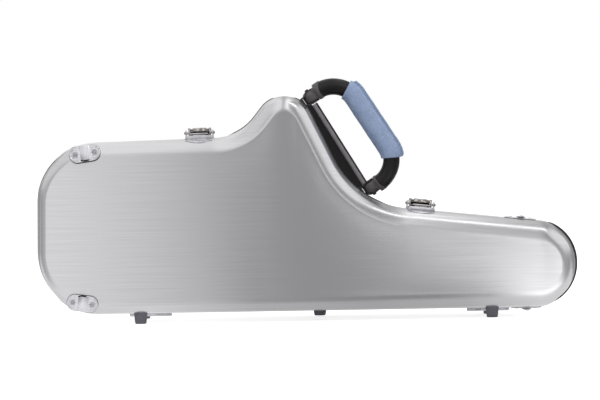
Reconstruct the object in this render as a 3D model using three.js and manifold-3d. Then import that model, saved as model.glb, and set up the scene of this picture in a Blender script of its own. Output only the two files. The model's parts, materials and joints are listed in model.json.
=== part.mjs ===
import * as THREE from 'three';
import { mergeVertices } from 'three/addons/utils/BufferGeometryUtils.js';
import Module from 'manifold-3d';

const wasm = await Module();
wasm.setup();

// A shaped hard case for a tenor saxophone, standing on its feet. Millimetres.
// X runs along the case, the front shell looks along -Y, Z is up from the floor.

// Outline of both shells, seen from the front: seven corners, each rounded.
const caseLength = 882;
const wideEndHeight = 276;
const waistHeight = 283.1;
const peakHeight = 389.6;
const slopeFootHeight = 170.3;
const neckEndHeight = 133.2;
const standHeight = 14.6;
const baseCornerRadius = 101;
const topCornerRadius = 98;
const waistRadius = 88;
const peakRadius = 47;
const slopeFootRadius = 147;
const neckCornerRadius = 68.5;
// Places of the corners along the length, as shares of it from the middle.
const cornerPlaceShares = {
  baseLeft: -0.4989,
  topLeft: -0.4937,
  waist: -0.1197,
  peak: -0.026,
  slopeFoot: 0.0969,
  neckTop: 0.5011,
  neckBase: 0.4987,
};

// Section of a shell, from the seal to the face.
const wideDepth = 98;
const neckDepth = 84;
const taperStartShare = -0.07;
const taperEndShare = 0.5;
const straightBand = 30;
const draft = 4;
const wideEdgeRadius = 17;
const neckEdgeRadius = 26;
const shellWall = 4.5;
const faceCrown = 3;

// Rubber seal between the shells.
const sealThickness = 2.4;
const sealWidth = 5;
const sealProud = 1.5;

// Gaps that the pieces keep to each other.
const seatGap = 0.3;
const bedGap = 1;
const runningGap = 0.2;
const overrun = 40;

// Padded beds and the recess for the instrument.
const bedSetback = 2;
const tubeHalfWidth = 45;
const tubeAxisHeight = 66;
const bowAxisRadius = 67;
const bowInset = 140;
const neckStopInset = 40;
const channelDepth = 56;
const bellDepth = 74;
const bellRimHalf = 76;
const bellRimInset = 29;
const flareLength = 150;
const channelEndRadius = 12;

// Handle: two pivots that stand off the slope, a looped tube and a wrap around it. The
// upper one is measured back along the slope from the end of the peak's bend.
const handlePivotSpacing = 180;
const upperPivotBack = 22.4;
const upperPivotStand = 11.78;
const lowerPivotStand = 12.57;
const handleSide = 18;
const gripReach = 59.5;
const gripRadius = 13.5;
const elbowRun = 40;
const elbowRise = 41;
const elbowFullnessShare = 0.38;
const wrapStartShare = 0.65;
const legStart = 15.5;
const eyeRadius = 9.6;
const eyeThickness = 16;
const eyeGap = 0.4;
const pivotPinRadius = 3;
const pivotPinHead = 2;
const wrapRadius = 17;
const wrapGap = 0.8;
const wrapFinHeight = 4.5;
const wrapFinThickness = 3;
const earThickness = 5;
const earRadius = 11;
const bracketDepth = 26;
const bracketBase = 17;
const mountWidth = 27;
const mountTop = -3.3;
const capThickness = 3.6;
const capWidth = 19;
const capEndGap = 1.5;
const mountEndGap = 0.6;

// Hinges under the bottom edge.
const hingeLength = 68;
const leafWidth = 24;
const leafThickness = 1.5;
const knuckleRadius = 2.6;
const hingePinRadius = 1.25;
const hingeBoreRadius = 1.36;
const knuckleGap = 0.4;
const hingeScrewSpacing = 46;
const knuckleShare = 0.34;
const hingePlaceShares = { left: -0.2906, right: 0.3334 };

// Draw latches on the top edge.
const leftLatchRun = 23;
const rightLatchRun = 21.2;
const latchHandleRun = 79;
const latchBaseLength = 46;
const latchBaseWidth = 32;
const latchPlate = 2;
const latchEarThickness = 2.2;
const latchEarReach = 13;
const latchPivotSide = 8;
const latchPivotHeight = 9.4;
const trunnionRadius = 2;
const leverWidth = 37;
const leverLength = 44;
const leverWeb = 2;
const leverFlange = 2.2;
const leverHeight = 6.6;
const leverLip = 3.2;
const bailPivotReach = 6.4;
const bailPivotDrop = 3;
const bailWire = 1.2;
const bailHalfWidth = 13;
const bailReach = 34;
const bailRise = 1.9;
const keeperRadius = 22;
const keeperThickness = 2.4;
const keeperRim = 2.2;
const keeperRimHeight = 1.6;
const keeperSide = 46;
const keeperTiltDegrees = 24;
const keeperDrop = 4.6;
const keeperTongueWidth = 24;
const keeperTongueEnd = 5;
const lugWidth = 20;
const lugThickness = 2.4;
const lugHeight = 6.7;
const lugSide = 18;
const latchSideGap = 2.6;
const latchScrewSpacing = 34;

// Strap anchors on the front shell.
const anchorLength = 50;
const anchorWidth = 28;
const anchorPlate = 2.2;
const anchorRoot = 9;
const bridgeHalfLength = 11;
const bridgeHeight = 11.5;
const bridgeSheet = 2.2;
const anchorScrewReach = 17.5;
const anchorShoulderTiltDegrees = 67;
const anchorWallSide = 17;
const anchorPlaceShares = { topLeft: -0.4027, topRight: 0.3941, baseLeft: -0.4125 };
const anchorHingeGap = 2;

// Screws, all with the same low domed head.
const screwHeadRadius = 3.3;
const screwHeadHeight = 1.8;
const smallScrewShare = 0.75;

// Feet and bumpers.
const footTopRadius = 10.6;
const footBottomRadius = 9;
const footEdge = 1.4;
const footRoot = 6;
const footPlaceShares = { left: -0.3058, right: 0.3383 };
const wideFootSide = 68;
const neckFootSide = 46;
const bumperRadius = 10;
const bumperHeight = 7.4;
const bumperSide = 38;
const bumperPlaceShare = 0.0222;

// How finely round shapes are divided.
const halfCornerSteps = 3;
const roundSteps = 12;
const screwSteps = 8;
const footSteps = 12;
const keeperSteps = 16;
const bailSteps = 26;
const channelEndSteps = 10;
const edgeSteps = 3;
const hollowEdgeSteps = 2;
const leanSteps = 40;

const lerp = (a, b, share) => a + (b - a) * share;
const clampShare = (s) => Math.min(1, Math.max(0, s));

// Solids made from three.js geometry.
function solidOf(geometry) {
  const plain = geometry.clone();
  plain.deleteAttribute('normal');
  plain.deleteAttribute('uv');
  const merged = mergeVertices(plain, 1e-4);
  const made = new wasm.Manifold(
    new wasm.Mesh({
      numProp: 3,
      vertProperties: merged.attributes.position.array,
      triVerts: new Uint32Array(merged.index.array),
    }),
  );
  return made;
}

function geometryOf(solid) {
  const m = solid.getMesh();
  const geometry = new THREE.BufferGeometry();
  const xyz = new Float32Array(m.numVert * 3);
  for (let i = 0; i < m.numVert; i += 1) {
    xyz.set(m.vertProperties.subarray(i * m.numProp, i * m.numProp + 3), i * 3);
  }
  geometry.setAttribute('position', new THREE.BufferAttribute(xyz, 3));
  geometry.setIndex(new THREE.BufferAttribute(m.triVerts, 1));
  const flat = geometry.toNonIndexed();
  flat.computeVertexNormals();
  return flat;
}

function box(x0, x1, y0, y1, z0, z1) {
  const g = new THREE.BoxGeometry(x1 - x0, y1 - y0, z1 - z0);
  g.translate((x0 + x1) / 2, (y0 + y1) / 2, (z0 + z1) / 2);
  return solidOf(g);
}

// A cylinder along local X, Y or Z between two places.
function rod(axis, radius, from, to, a, b, steps) {
  const g = new THREE.CylinderGeometry(radius, radius, to - from, steps);
  if (axis === 'x') {
    g.rotateZ(-Math.PI / 2);
    g.translate((from + to) / 2, a, b);
  }
  if (axis === 'y') g.translate(a, (from + to) / 2, b);
  if (axis === 'z') {
    g.rotateX(Math.PI / 2);
    g.translate(a, b, (from + to) / 2);
  }
  return solidOf(g);
}

// A shape drawn in X and Z, made thick along Y.
function slabXZ(shape, y0, y1, curveSteps) {
  const g = new THREE.ExtrudeGeometry(shape, {
    depth: y1 - y0,
    bevelEnabled: false,
    curveSegments: curveSteps,
  });
  g.rotateX(Math.PI / 2);
  g.translate(0, y1, 0);
  return solidOf(g);
}

// The outline seen from the front.
const corners = [
  { place: cornerPlaceShares.baseLeft, height: 0, radius: baseCornerRadius },
  { place: cornerPlaceShares.topLeft, height: wideEndHeight, radius: topCornerRadius },
  { place: cornerPlaceShares.waist, height: waistHeight, radius: waistRadius },
  { place: cornerPlaceShares.peak, height: peakHeight, radius: peakRadius },
  { place: cornerPlaceShares.slopeFoot, height: slopeFootHeight, radius: slopeFootRadius },
  { place: cornerPlaceShares.neckTop, height: neckEndHeight, radius: neckCornerRadius },
  { place: cornerPlaceShares.neckBase, height: 0, radius: neckCornerRadius },
].map((c) => ({
  at: new THREE.Vector2(c.place * caseLength, c.height + standHeight),
  radius: c.radius,
}));

// Each corner becomes an arc that touches both of its edges.
const arcs = corners.map((corner, i) => {
  const before = corners[(i + corners.length - 1) % corners.length].at;
  const after = corners[(i + 1) % corners.length].at;
  const into = corner.at.clone().sub(before).normalize();
  const out = after.clone().sub(corner.at).normalize();
  const turn = Math.atan2(into.x * out.y - into.y * out.x, into.dot(out));
  const reach = corner.radius * Math.tan(Math.abs(turn) / 2);
  const start = corner.at.clone().addScaledVector(into, -reach);
  const side = Math.sign(turn);
  const left = new THREE.Vector2(-into.y, into.x);
  const centre = start.clone().addScaledVector(left, side * corner.radius);
  return { start, centre, turn, into, radius: corner.radius };
});

function arcPoint(arc, share) {
  const spoke = arc.start.clone().sub(arc.centre);
  spoke.rotateAround(new THREE.Vector2(), arc.turn * share);
  const heading = arc.into.clone().rotateAround(new THREE.Vector2(), arc.turn * share);
  return {
    at: arc.centre.clone().add(spoke),
    inward: new THREE.Vector2(heading.y, -heading.x),
  };
}

function arcRun(arc, from, to, steps) {
  const run = [];
  for (let k = 0; k < steps; k += 1) run.push(arcPoint(arc, lerp(from, to, k / steps)));
  return run;
}

function lineRun(arcA, arcB, shares) {
  const a = arcPoint(arcA, 1);
  const b = arcPoint(arcB, 0);
  return shares.map((s) => ({ at: a.at.clone().lerp(b.at, s), inward: a.inward.clone() }));
}

const evenShares = (count) => Array.from({ length: count }, (_, k) => k / count);
const [baseLeft, topLeft, waist, peak, slopeFoot, neckTop, neckBase] = arcs;

const leftChain = [
  ...arcRun(baseLeft, 0.5, 1, halfCornerSteps),
  ...lineRun(baseLeft, topLeft, evenShares(1)),
  ...arcRun(topLeft, 0, 0.5, halfCornerSteps),
];
const topMiddle = [
  ...lineRun(topLeft, waist, evenShares(2)),
  ...arcRun(waist, 0, 1, 5),
  ...lineRun(waist, peak, evenShares(1)),
  ...arcRun(peak, 0, 1, 6),
  ...lineRun(peak, slopeFoot, evenShares(2)),
  ...arcRun(slopeFoot, 0, 1, 5),
  ...lineRun(slopeFoot, neckTop, evenShares(2)),
];
const topChain = [
  ...arcRun(topLeft, 0.5, 1, halfCornerSteps),
  ...topMiddle,
  ...arcRun(neckTop, 0, 0.5, halfCornerSteps),
];
const rightChain = [
  ...arcRun(neckTop, 0.5, 1, halfCornerSteps),
  ...lineRun(neckTop, neckBase, evenShares(1)),
  ...arcRun(neckBase, 0, 0.5, halfCornerSteps),
];
const topStartX = topMiddle[0].at.x;
const topEndX = arcPoint(neckTop, 0).at.x;
const bottomMiddleShares = topMiddle
  .map((p) => (topEndX - p.at.x) / (topEndX - topStartX))
  .reverse();
const bottomChain = [
  ...arcRun(neckBase, 0.5, 1, halfCornerSteps),
  ...lineRun(neckBase, baseLeft, [0, ...bottomMiddleShares.slice(0, -1)]),
  ...arcRun(baseLeft, 0, 0.5, halfCornerSteps),
];
const outline = [...leftChain, ...topChain, ...rightChain, ...bottomChain];
const acrossCount = leftChain.length;
const alongCount = topChain.length;

// The part stands centred over the middle of its length.
const outlineLow = Math.min(...outline.map((p) => p.at.x));
const outlineHigh = Math.max(...outline.map((p) => p.at.x));
const centring = -(outlineLow + outlineHigh) / 2;
outline.forEach((p) => p.at.setX(p.at.x + centring));
const [, , , peakCorner, slopeFootCorner] = corners.map(
  (c) => new THREE.Vector2(c.at.x + centring, c.at.y),
);

// A point of the outline above or below a place along the length.
function outlineAt(place, upper) {
  for (let i = 0; i < outline.length; i += 1) {
    const a = outline[i];
    const b = outline[(i + 1) % outline.length];
    const low = Math.min(a.at.x, b.at.x);
    const high = Math.max(a.at.x, b.at.x);
    const rises = b.at.x > a.at.x;
    if (place >= low && place <= high && rises === upper && high > low) {
      const s = (place - a.at.x) / (b.at.x - a.at.x);
      const chord = b.at.clone().sub(a.at).normalize();
      return {
        at: a.at.clone().lerp(b.at, s),
        outward: new THREE.Vector2(-chord.y, chord.x),
      };
    }
  }
  return null;
}

// Shell surfaces.
function along(x) {
  return clampShare((x - outlineLow - centring) / (outlineHigh - outlineLow));
}
function depthAt(x) {
  const s = clampShare((x / caseLength - taperStartShare) / (taperEndShare - taperStartShare));
  return lerp(wideDepth, neckDepth, s * s * (3 - 2 * s));
}
function edgeRadiusAt(x) {
  return lerp(wideEdgeRadius, neckEdgeRadius, along(x));
}

// One ring of the surface: the outline moved in, at a depth from the middle.
function ring(insetAt, depthOf) {
  return outline.map((p) => {
    const inset = insetAt(p.at.x);
    return [
      p.at.x + p.inward.x * inset,
      depthOf(p.at.x),
      p.at.y + p.inward.y * inset,
    ];
  });
}

class Skin {
  constructor() {
    this.points = [];
    this.faces = [];
  }

  add(list) {
    const first = this.points.length;
    this.points.push(...list);
    return list.map((_, k) => first + k);
  }

  quad(a, b, c, d, flip) {
    if (flip) this.faces.push([a, c, b], [a, d, c]);
    else this.faces.push([a, b, c], [a, c, d]);
  }

  strip(a, b, flip) {
    for (let i = 0; i < a.length; i += 1) {
      const j = (i + 1) % a.length;
      this.quad(a[i], a[j], b[j], b[i], flip);
    }
  }

  // Fills a ring with a grid of four sides that blends them, raised by a crown.
  fill(loop, crown, flip) {
    const n = loop.length;
    const left = (j) => loop[j];
    const top = (i) => loop[acrossCount + i];
    const right = (j) => loop[acrossCount + alongCount + (acrossCount - j)];
    const bottom = (i) => loop[(2 * acrossCount + alongCount + (alongCount - i)) % n];
    const at = (k) => this.points[k];
    const grid = [];
    const x0 = at(bottom(0))[0];
    const x1 = at(bottom(alongCount))[0];
    const z0 = at(left(0))[2];
    const z1 = at(left(acrossCount))[2];
    for (let i = 0; i <= alongCount; i += 1) {
      const column = [];
      const u = (at(bottom(i))[0] - x0) / (x1 - x0);
      for (let j = 0; j <= acrossCount; j += 1) {
        const v = (at(left(j))[2] - z0) / (z1 - z0);
        if (i === 0) column.push(left(j));
        else if (i === alongCount) column.push(right(j));
        else if (j === 0) column.push(bottom(i));
        else if (j === acrossCount) column.push(top(i));
        else {
          const p = [0, 1, 2].map(
            (c) =>
              (1 - v) * at(bottom(i))[c] +
              v * at(top(i))[c] +
              (1 - u) * at(left(j))[c] +
              u * at(right(j))[c] -
              (1 - u) * (1 - v) * at(bottom(0))[c] -
              u * (1 - v) * at(bottom(alongCount))[c] -
              (1 - u) * v * at(top(0))[c] -
              u * v * at(top(alongCount))[c],
          );
          p[1] += crown * (1 - (2 * u - 1) ** 4) * (1 - (2 * v - 1) ** 4);
          column.push(this.add([p])[0]);
        }
      }
      grid.push(column);
    }
    for (let i = 0; i < alongCount; i += 1) {
      for (let j = 0; j < acrossCount; j += 1) {
        this.quad(grid[i][j], grid[i][j + 1], grid[i + 1][j + 1], grid[i + 1][j], flip);
      }
    }
  }

  solid() {
    const g = new THREE.BufferGeometry();
    g.setAttribute('position', new THREE.BufferAttribute(new Float32Array(this.points.flat()), 3));
    g.setIndex(this.faces.flat());
    const made = solidOf(g);
    if (made.volume() > 0) return made;
    g.setIndex(this.faces.map(([a, b, c]) => [a, c, b]).flat());
    return solidOf(g);
  }
}

const halfParting = sealThickness / 2 + seatGap;
const quarter = Math.PI / 2;

// The outer surface of a shell, ending in its face. Side is 1 behind, -1 in front.
function outerRings(skin, side) {
  const rings = [
    skin.add(ring(() => 0, () => side * halfParting)),
    skin.add(ring(() => 0, () => side * straightBand)),
  ];
  for (let k = 0; k <= edgeSteps; k += 1) {
    const a = (k / edgeSteps) * quarter;
    rings.push(
      skin.add(
        ring(
          (x) => draft + edgeRadiusAt(x) * (1 - Math.cos(a)),
          (x) => side * (depthAt(x) - edgeRadiusAt(x) * (1 - Math.sin(a))),
        ),
      ),
    );
  }
  return rings;
}

function innerRings(skin, side) {
  const rings = [skin.add(ring(() => shellWall, () => side * halfParting))];
  for (let k = 0; k <= hollowEdgeSteps; k += 1) {
    const a = (k / hollowEdgeSteps) * quarter;
    rings.push(
      skin.add(
        ring(
          (x) => draft + edgeRadiusAt(x) - (edgeRadiusAt(x) - shellWall) * Math.cos(a),
          (x) =>
            side *
            (depthAt(x) - edgeRadiusAt(x) + (edgeRadiusAt(x) - shellWall) * Math.sin(a)),
        ),
      ),
    );
  }
  return rings;
}

function shell(side) {
  const skin = new Skin();
  const outer = outerRings(skin, side);
  for (let k = 0; k + 1 < outer.length; k += 1) skin.strip(outer[k], outer[k + 1], false);
  skin.fill(outer[outer.length - 1], side * faceCrown, false);
  const inner = innerRings(skin, side);
  for (let k = 0; k + 1 < inner.length; k += 1) skin.strip(inner[k], inner[k + 1], true);
  skin.fill(inner[inner.length - 1], side * faceCrown, true);
  skin.strip(inner[0], outer[0], false);
  return skin.solid();
}

// The same outer shape without its hollow, used to cut what sits on a shell.
function filledShell(side) {
  const skin = new Skin();
  const outer = outerRings(skin, side);
  for (let k = 0; k + 1 < outer.length; k += 1) skin.strip(outer[k], outer[k + 1], false);
  skin.fill(outer[outer.length - 1], side * faceCrown, false);
  skin.fill(outer[0], 0, true);
  return skin.solid();
}

function seal() {
  const skin = new Skin();
  const half = sealThickness / 2;
  const a = skin.add(ring(() => -sealProud, () => -half));
  const b = skin.add(ring(() => -sealProud, () => half));
  const c = skin.add(ring(() => sealWidth - sealProud, () => half));
  const d = skin.add(ring(() => sealWidth - sealProud, () => -half));
  skin.strip(a, b, false);
  skin.strip(b, c, false);
  skin.strip(c, d, false);
  skin.strip(d, a, false);
  return skin.solid();
}

// Padded beds with the recess for the instrument.
const bowX = outlineLow + centring + bowInset;
const neckStopX = outlineHigh + centring - neckStopInset;
const tubeZ = standHeight + tubeAxisHeight;
const bowZ = tubeZ + bowAxisRadius;
const bowOuter = bowAxisRadius + tubeHalfWidth;
const bowInner = bowAxisRadius - tubeHalfWidth;
const slopeDirection = slopeFootCorner.clone().sub(peakCorner).normalize();
const slopeOutward = new THREE.Vector2(-slopeDirection.y, slopeDirection.x);
const rimMiddle = peakCorner
  .clone()
  .lerp(slopeFootCorner, 0.5)
  .addScaledVector(slopeOutward, -bellRimInset);
const rimTop = rimMiddle.clone().addScaledVector(slopeDirection, -bellRimHalf);
const rimLow = rimMiddle.clone().addScaledVector(slopeDirection, bellRimHalf);
const flareStartX = rimMiddle.x - flareLength;

function channelShape() {
  const s = new THREE.Shape();
  s.moveTo(neckStopX - channelEndRadius, tubeZ - tubeHalfWidth);
  s.lineTo(bowX, tubeZ - tubeHalfWidth);
  s.absarc(bowX, bowZ, bowOuter, -quarter, quarter, true);
  s.lineTo(flareStartX, bowZ + bowOuter);
  s.lineTo(rimTop.x, rimTop.y);
  s.lineTo(rimLow.x, rimLow.y);
  s.lineTo(flareStartX, bowZ + bowInner);
  s.lineTo(bowX, bowZ + bowInner);
  s.absarc(bowX, bowZ, bowInner, quarter, -quarter, false);
  s.lineTo(neckStopX - channelEndRadius, tubeZ + tubeHalfWidth);
  s.absarc(
    neckStopX - channelEndRadius,
    tubeZ + tubeHalfWidth - channelEndRadius,
    channelEndRadius,
    quarter,
    0,
    true,
  );
  s.lineTo(neckStopX, tubeZ - tubeHalfWidth + channelEndRadius);
  s.absarc(
    neckStopX - channelEndRadius,
    tubeZ - tubeHalfWidth + channelEndRadius,
    channelEndRadius,
    0,
    -quarter,
    true,
  );
  s.closePath();
  return s;
}

function bellShape() {
  const s = new THREE.Shape();
  s.moveTo(flareStartX, bowZ + bowOuter);
  s.lineTo(rimTop.x, rimTop.y);
  s.lineTo(rimLow.x, rimLow.y);
  s.lineTo(flareStartX, bowZ + bowInner);
  s.closePath();
  return s;
}

function bed(side) {
  const skin = new Skin();
  const wallInset = shellWall + bedGap;
  const rings = [
    skin.add(ring(() => wallInset, () => side * bedSetback)),
    skin.add(
      ring(
        () => wallInset + draft,
        (x) => side * (depthAt(x) - edgeRadiusAt(x)),
      ),
    ),
    skin.add(
      ring(
        (x) => draft + edgeRadiusAt(x) + bedGap,
        (x) => side * (depthAt(x) - shellWall - bedGap),
      ),
    ),
  ];
  skin.strip(rings[0], rings[1], false);
  skin.strip(rings[1], rings[2], false);
  skin.fill(rings[2], side * faceCrown, false);
  skin.fill(rings[0], 0, true);
  const ends = (depth) => (side > 0 ? [-overrun, depth] : [-depth, overrun]);
  const channel = slabXZ(channelShape(), ...ends(channelDepth), channelEndSteps);
  const bell = slabXZ(bellShape(), ...ends(bellDepth), 1);
  return skin.solid().subtract(channel).subtract(bell);
}

// Materials.
function material(colour, roughness, metalness) {
  return new THREE.MeshStandardMaterial({ color: colour, roughness, metalness });
}
const looks = {
  shell: () => material('#b9b8bb', 0.3, 0.85),
  seal: () => material('#17171a', 0.6, 0),
  plush: () => material('#1c1f2c', 0.95, 0),
  nickel: () => material('#c4c2bd', 0.22, 1),
  black: () => material('#37333a', 0.45, 0),
  strip: () => material('#55525a', 0.4, 0),
  grey: () => material('#4b4848', 0.6, 0),
  leather: () => material('#8c9cb8', 0.65, 0),
  rubber: () => material('#5c5b63', 0.7, 0),
};

function piece(name, solid, look) {
  const mesh = new THREE.Mesh(geometryOf(solid), look());
  mesh.name = name;
  return mesh;
}

// A group whose X runs along the edge, Z out of the case and Y the third way.
function edgeGroup(place, upper, side, tiltDegrees, sideways, inset) {
  const found = outlineAt(place, upper);
  const out = new THREE.Vector3(found.outward.x, 0, found.outward.y);
  const run = new THREE.Vector3(0, 1, 0).cross(out).normalize();
  const tilt = THREE.MathUtils.degToRad(tiltDegrees);
  const normal = out
    .clone()
    .multiplyScalar(Math.cos(tilt))
    .add(new THREE.Vector3(0, side * Math.sin(tilt), 0));
  const third = normal.clone().cross(run);
  const group = new THREE.Group();
  const matrix = new THREE.Matrix4().makeBasis(run, third, normal);
  const from = found.at.clone().addScaledVector(found.outward, -inset);
  matrix.setPosition(from.x, sideways, from.y);
  group.applyMatrix4(matrix);
  group.updateMatrixWorld(true);
  return group;
}

// Trims the foot of a piece to the shell under it, a small gap clear of it. The lift
// is the local direction that leads away from the shell.
function seated(group, solid, tool, lift) {
  const world = group.matrixWorld.elements;
  const back = group.matrixWorld.clone().invert().elements;
  const [x, y, z] = lift.map((v) => v * seatGap);
  const cut = solid
    .translate([-x, -y, -z])
    .transform([...world])
    .subtract(tool)
    .transform([...back])
    .translate([x, y, z]);
  const bodies = cut.decompose();
  bodies.sort((a, b) => b.volume() - a.volume());
  return bodies[0];
}
const liftZ = [0, 0, 1];
const liftY = [0, 1, 0];

function screw(name, x, y, z, share) {
  const r = screwHeadRadius * share;
  const h = screwHeadHeight * share;
  const profile = [
    new THREE.Vector2(0, 0),
    new THREE.Vector2(r, 0),
    new THREE.Vector2(r, h / 3),
    new THREE.Vector2(r * 0.62, h * 0.88),
    new THREE.Vector2(0, h),
  ];
  const g = new THREE.LatheGeometry(profile, screwSteps);
  g.rotateX(Math.PI / 2);
  const mesh = piece(name, solidOf(g), looks.nickel);
  mesh.position.set(x, y, z + seatGap);
  return mesh;
}

const filled = { front: filledShell(-1), rear: filledShell(1) };
const saxCase = new THREE.Group();
saxCase.name = 'saxophone_case';
const rearGroup = new THREE.Group();
const lidGroup = new THREE.Group();
saxCase.add(rearGroup, lidGroup);

rearGroup.add(piece('rear_shell', shell(1), looks.shell));
rearGroup.add(piece('rim_seal', seal(), looks.seal));
rearGroup.add(piece('rear_bed', bed(1), looks.plush));
lidGroup.add(piece('front_shell', shell(-1), looks.shell));
lidGroup.add(piece('front_bed', bed(-1), looks.plush));

// Hinges.
// Local frame: X along the bottom edge, Y to the rear, Z down out of the case.
const knuckleDrop = sealProud + knuckleGap + knuckleRadius;
function hingeLeaf(side, middle) {
  const half = hingeLength / 2;
  const third = half * knuckleShare;
  const near = knuckleRadius + knuckleGap;
  const low = seatGap;
  const high = seatGap + leafThickness;
  const outerEdge = side > 0 ? [near, leafWidth] : [-leafWidth, -near];
  let leaf = box(-half, half, ...outerEdge, low, high);
  const spans = middle
    ? [[-third + knuckleGap / 2, third - knuckleGap / 2]]
    : [
        [-half, -third - knuckleGap / 2],
        [third + knuckleGap / 2, half],
      ];
  spans.forEach(([from, to]) => {
    const tab = side > 0 ? [hingeBoreRadius, near * 1.5] : [-near * 1.5, -hingeBoreRadius];
    const web = box(from, to, ...tab, low + leafThickness / 2, knuckleDrop + hingeBoreRadius);
    leaf = leaf.add(rod('x', knuckleRadius, from, to, 0, knuckleDrop, roundSteps));
    leaf = leaf.add(web);
  });
  const bore = rod('x', hingeBoreRadius, -hingeLength, hingeLength, 0, knuckleDrop, roundSteps);
  return leaf.subtract(bore);
}

Object.entries(hingePlaceShares).forEach(([which, share]) => {
  const hinge = edgeGroup(share * caseLength, false, 1, 0, 0, 0);
  hinge.add(piece(`hinge_leaf_rear_${which}`, hingeLeaf(1, false), looks.nickel));
  const pinHalf = hingeLength / 2;
  const pin = rod('x', hingePinRadius, -pinHalf, pinHalf, 0, knuckleDrop, roundSteps);
  hinge.add(piece(`hinge_pin_${which}`, pin, looks.nickel));
  const lidSide = hinge.clone();
  lidSide.clear();
  lidSide.add(piece(`hinge_leaf_front_${which}`, hingeLeaf(-1, true), looks.nickel));
  const screwY = (leafWidth + knuckleRadius) / 2;
  const screwZ = seatGap + leafThickness;
  [-1, 1].forEach((end) => {
    const letter = end < 0 ? 'a' : 'b';
    const x = (end * hingeScrewSpacing) / 2;
    hinge.add(screw(`hinge_screw_rear_${which}_${letter}`, x, screwY, screwZ, smallScrewShare));
    lidSide.add(
      screw(`hinge_screw_front_${which}_${letter}`, x, -screwY, screwZ, smallScrewShare),
    );
  });
  rearGroup.add(hinge);
  lidGroup.add(lidSide);
});

// The pivots of the handle.
const peakEnd = arcPoint(peak, 1).at;
const upperPivot = new THREE.Vector2(peakEnd.x + centring, peakEnd.y)
  .addScaledVector(slopeDirection, -upperPivotBack)
  .addScaledVector(slopeOutward, upperPivotStand);

// How far a point outside the case is from the outline.
function standOff(point) {
  const from = new THREE.Vector3(point.x, point.y, 0);
  const foot = new THREE.Vector3();
  const distances = outline.map((p, i) => {
    const next = outline[(i + 1) % outline.length];
    const a = new THREE.Vector3(p.at.x, p.at.y, 0);
    const b = new THREE.Vector3(next.at.x, next.at.y, 0);
    new THREE.Line3(a, b).closestPointToPoint(from, true, foot);
    return foot.distanceTo(from);
  });
  return Math.min(...distances);
}

// The line of the pivots leans out from the slope until the lower one stands off too.
function leanedRun() {
  let low = 0;
  let high = quarter;
  let run = slopeDirection.clone();
  for (let k = 0; k < leanSteps; k += 1) {
    const lean = (low + high) / 2;
    run = slopeDirection.clone().rotateAround(new THREE.Vector2(), lean);
    const reached = upperPivot.clone().addScaledVector(run, handlePivotSpacing);
    if (standOff(reached) < lowerPivotStand) low = lean;
    else high = lean;
  }
  return run;
}
const handleRun = leanedRun();
const lowerPivot = upperPivot.clone().addScaledVector(handleRun, handlePivotSpacing);

// Draw latches.
// Local frame: X along the top edge, Y to the rear, Z up out of the case.
function latchBase() {
  const half = latchBaseLength / 2;
  const y0 = latchSideGap;
  const y1 = latchSideGap + latchBaseWidth;
  let base = box(-half, half, y0, y1, seatGap, seatGap + latchPlate);
  [-1, 1].forEach((end) => {
    const inside = leverWidth / 2 + runningGap + trunnionRadius;
    const x0 = end > 0 ? inside : -inside - latchEarThickness;
    const x1 = x0 + latchEarThickness;
    const reach = latchEarReach / 2;
    const ear = box(
      x0,
      x1,
      latchPivotSide - reach,
      latchPivotSide + reach,
      seatGap + latchPlate / 2,
      latchPivotHeight,
    );
    const eye = rod('x', reach / 1.6, x0, x1, latchPivotSide, latchPivotHeight, roundSteps);
    base = base.add(ear).add(eye);
  });
  const bore = trunnionRadius + runningGap;
  return base.subtract(
    rod('x', bore, -overrun, overrun, latchPivotSide, latchPivotHeight, roundSteps),
  );
}

// The lever is a channel: a web on top, two flanges, and a turned-up lip at its end.
function latchLever() {
  const half = leverWidth / 2;
  const webStart = bailPivotReach + trunnionRadius + runningGap;
  const top = leverHeight;
  const side = new THREE.Shape();
  side.moveTo(-trunnionRadius * 1.7, -trunnionRadius);
  side.lineTo(-trunnionRadius * 1.7, trunnionRadius);
  side.lineTo(webStart, top);
  side.lineTo(leverLength * 0.6, top);
  side.lineTo(leverLength, top - leverLip);
  side.lineTo(leverLength, top - leverLip - leverWeb);
  side.lineTo(leverLength * 0.55, top - leverWeb * 2);
  side.lineTo(bailPivotReach + trunnionRadius, -bailPivotDrop - trunnionRadius);
  side.lineTo(bailPivotReach - trunnionRadius, -bailPivotDrop - trunnionRadius);
  side.closePath();
  const g = new THREE.ExtrudeGeometry(side, { depth: leverWidth, bevelEnabled: false });
  // Drawn in X and Y, then turned so that the drawing's X is local Y and its Y is local Z.
  g.rotateX(quarter);
  g.rotateZ(quarter);
  g.translate(-half, 0, 0);
  let lever = solidOf(g);
  const inside = half - leverFlange;
  const hollow = new THREE.Shape();
  const low = -bailPivotDrop - trunnionRadius - overrun;
  hollow.moveTo(-overrun, low);
  hollow.lineTo(-overrun, top + overrun);
  hollow.lineTo(webStart, top + overrun);
  hollow.lineTo(webStart, top - leverWeb);
  hollow.lineTo(leverLength * 0.6, top - leverWeb);
  hollow.lineTo(leverLength + overrun, low);
  hollow.closePath();
  const h = new THREE.ExtrudeGeometry(hollow, { depth: inside * 2, bevelEnabled: false });
  h.rotateX(quarter);
  h.rotateZ(quarter);
  h.translate(-inside, 0, 0);
  lever = lever.subtract(solidOf(h));
  [-1, 1].forEach((end) => {
    const from = end > 0 ? half - leverFlange : -half - trunnionRadius - latchEarThickness;
    const to = end > 0 ? half + trunnionRadius + latchEarThickness : -half + leverFlange;
    lever = lever.add(rod('x', trunnionRadius, from, to, 0, 0, roundSteps));
  });
  const hole = bailWire + runningGap;
  return lever.subtract(
    rod('x', hole, -overrun, overrun, bailPivotReach, -bailPivotDrop, roundSteps),
  );
}

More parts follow.
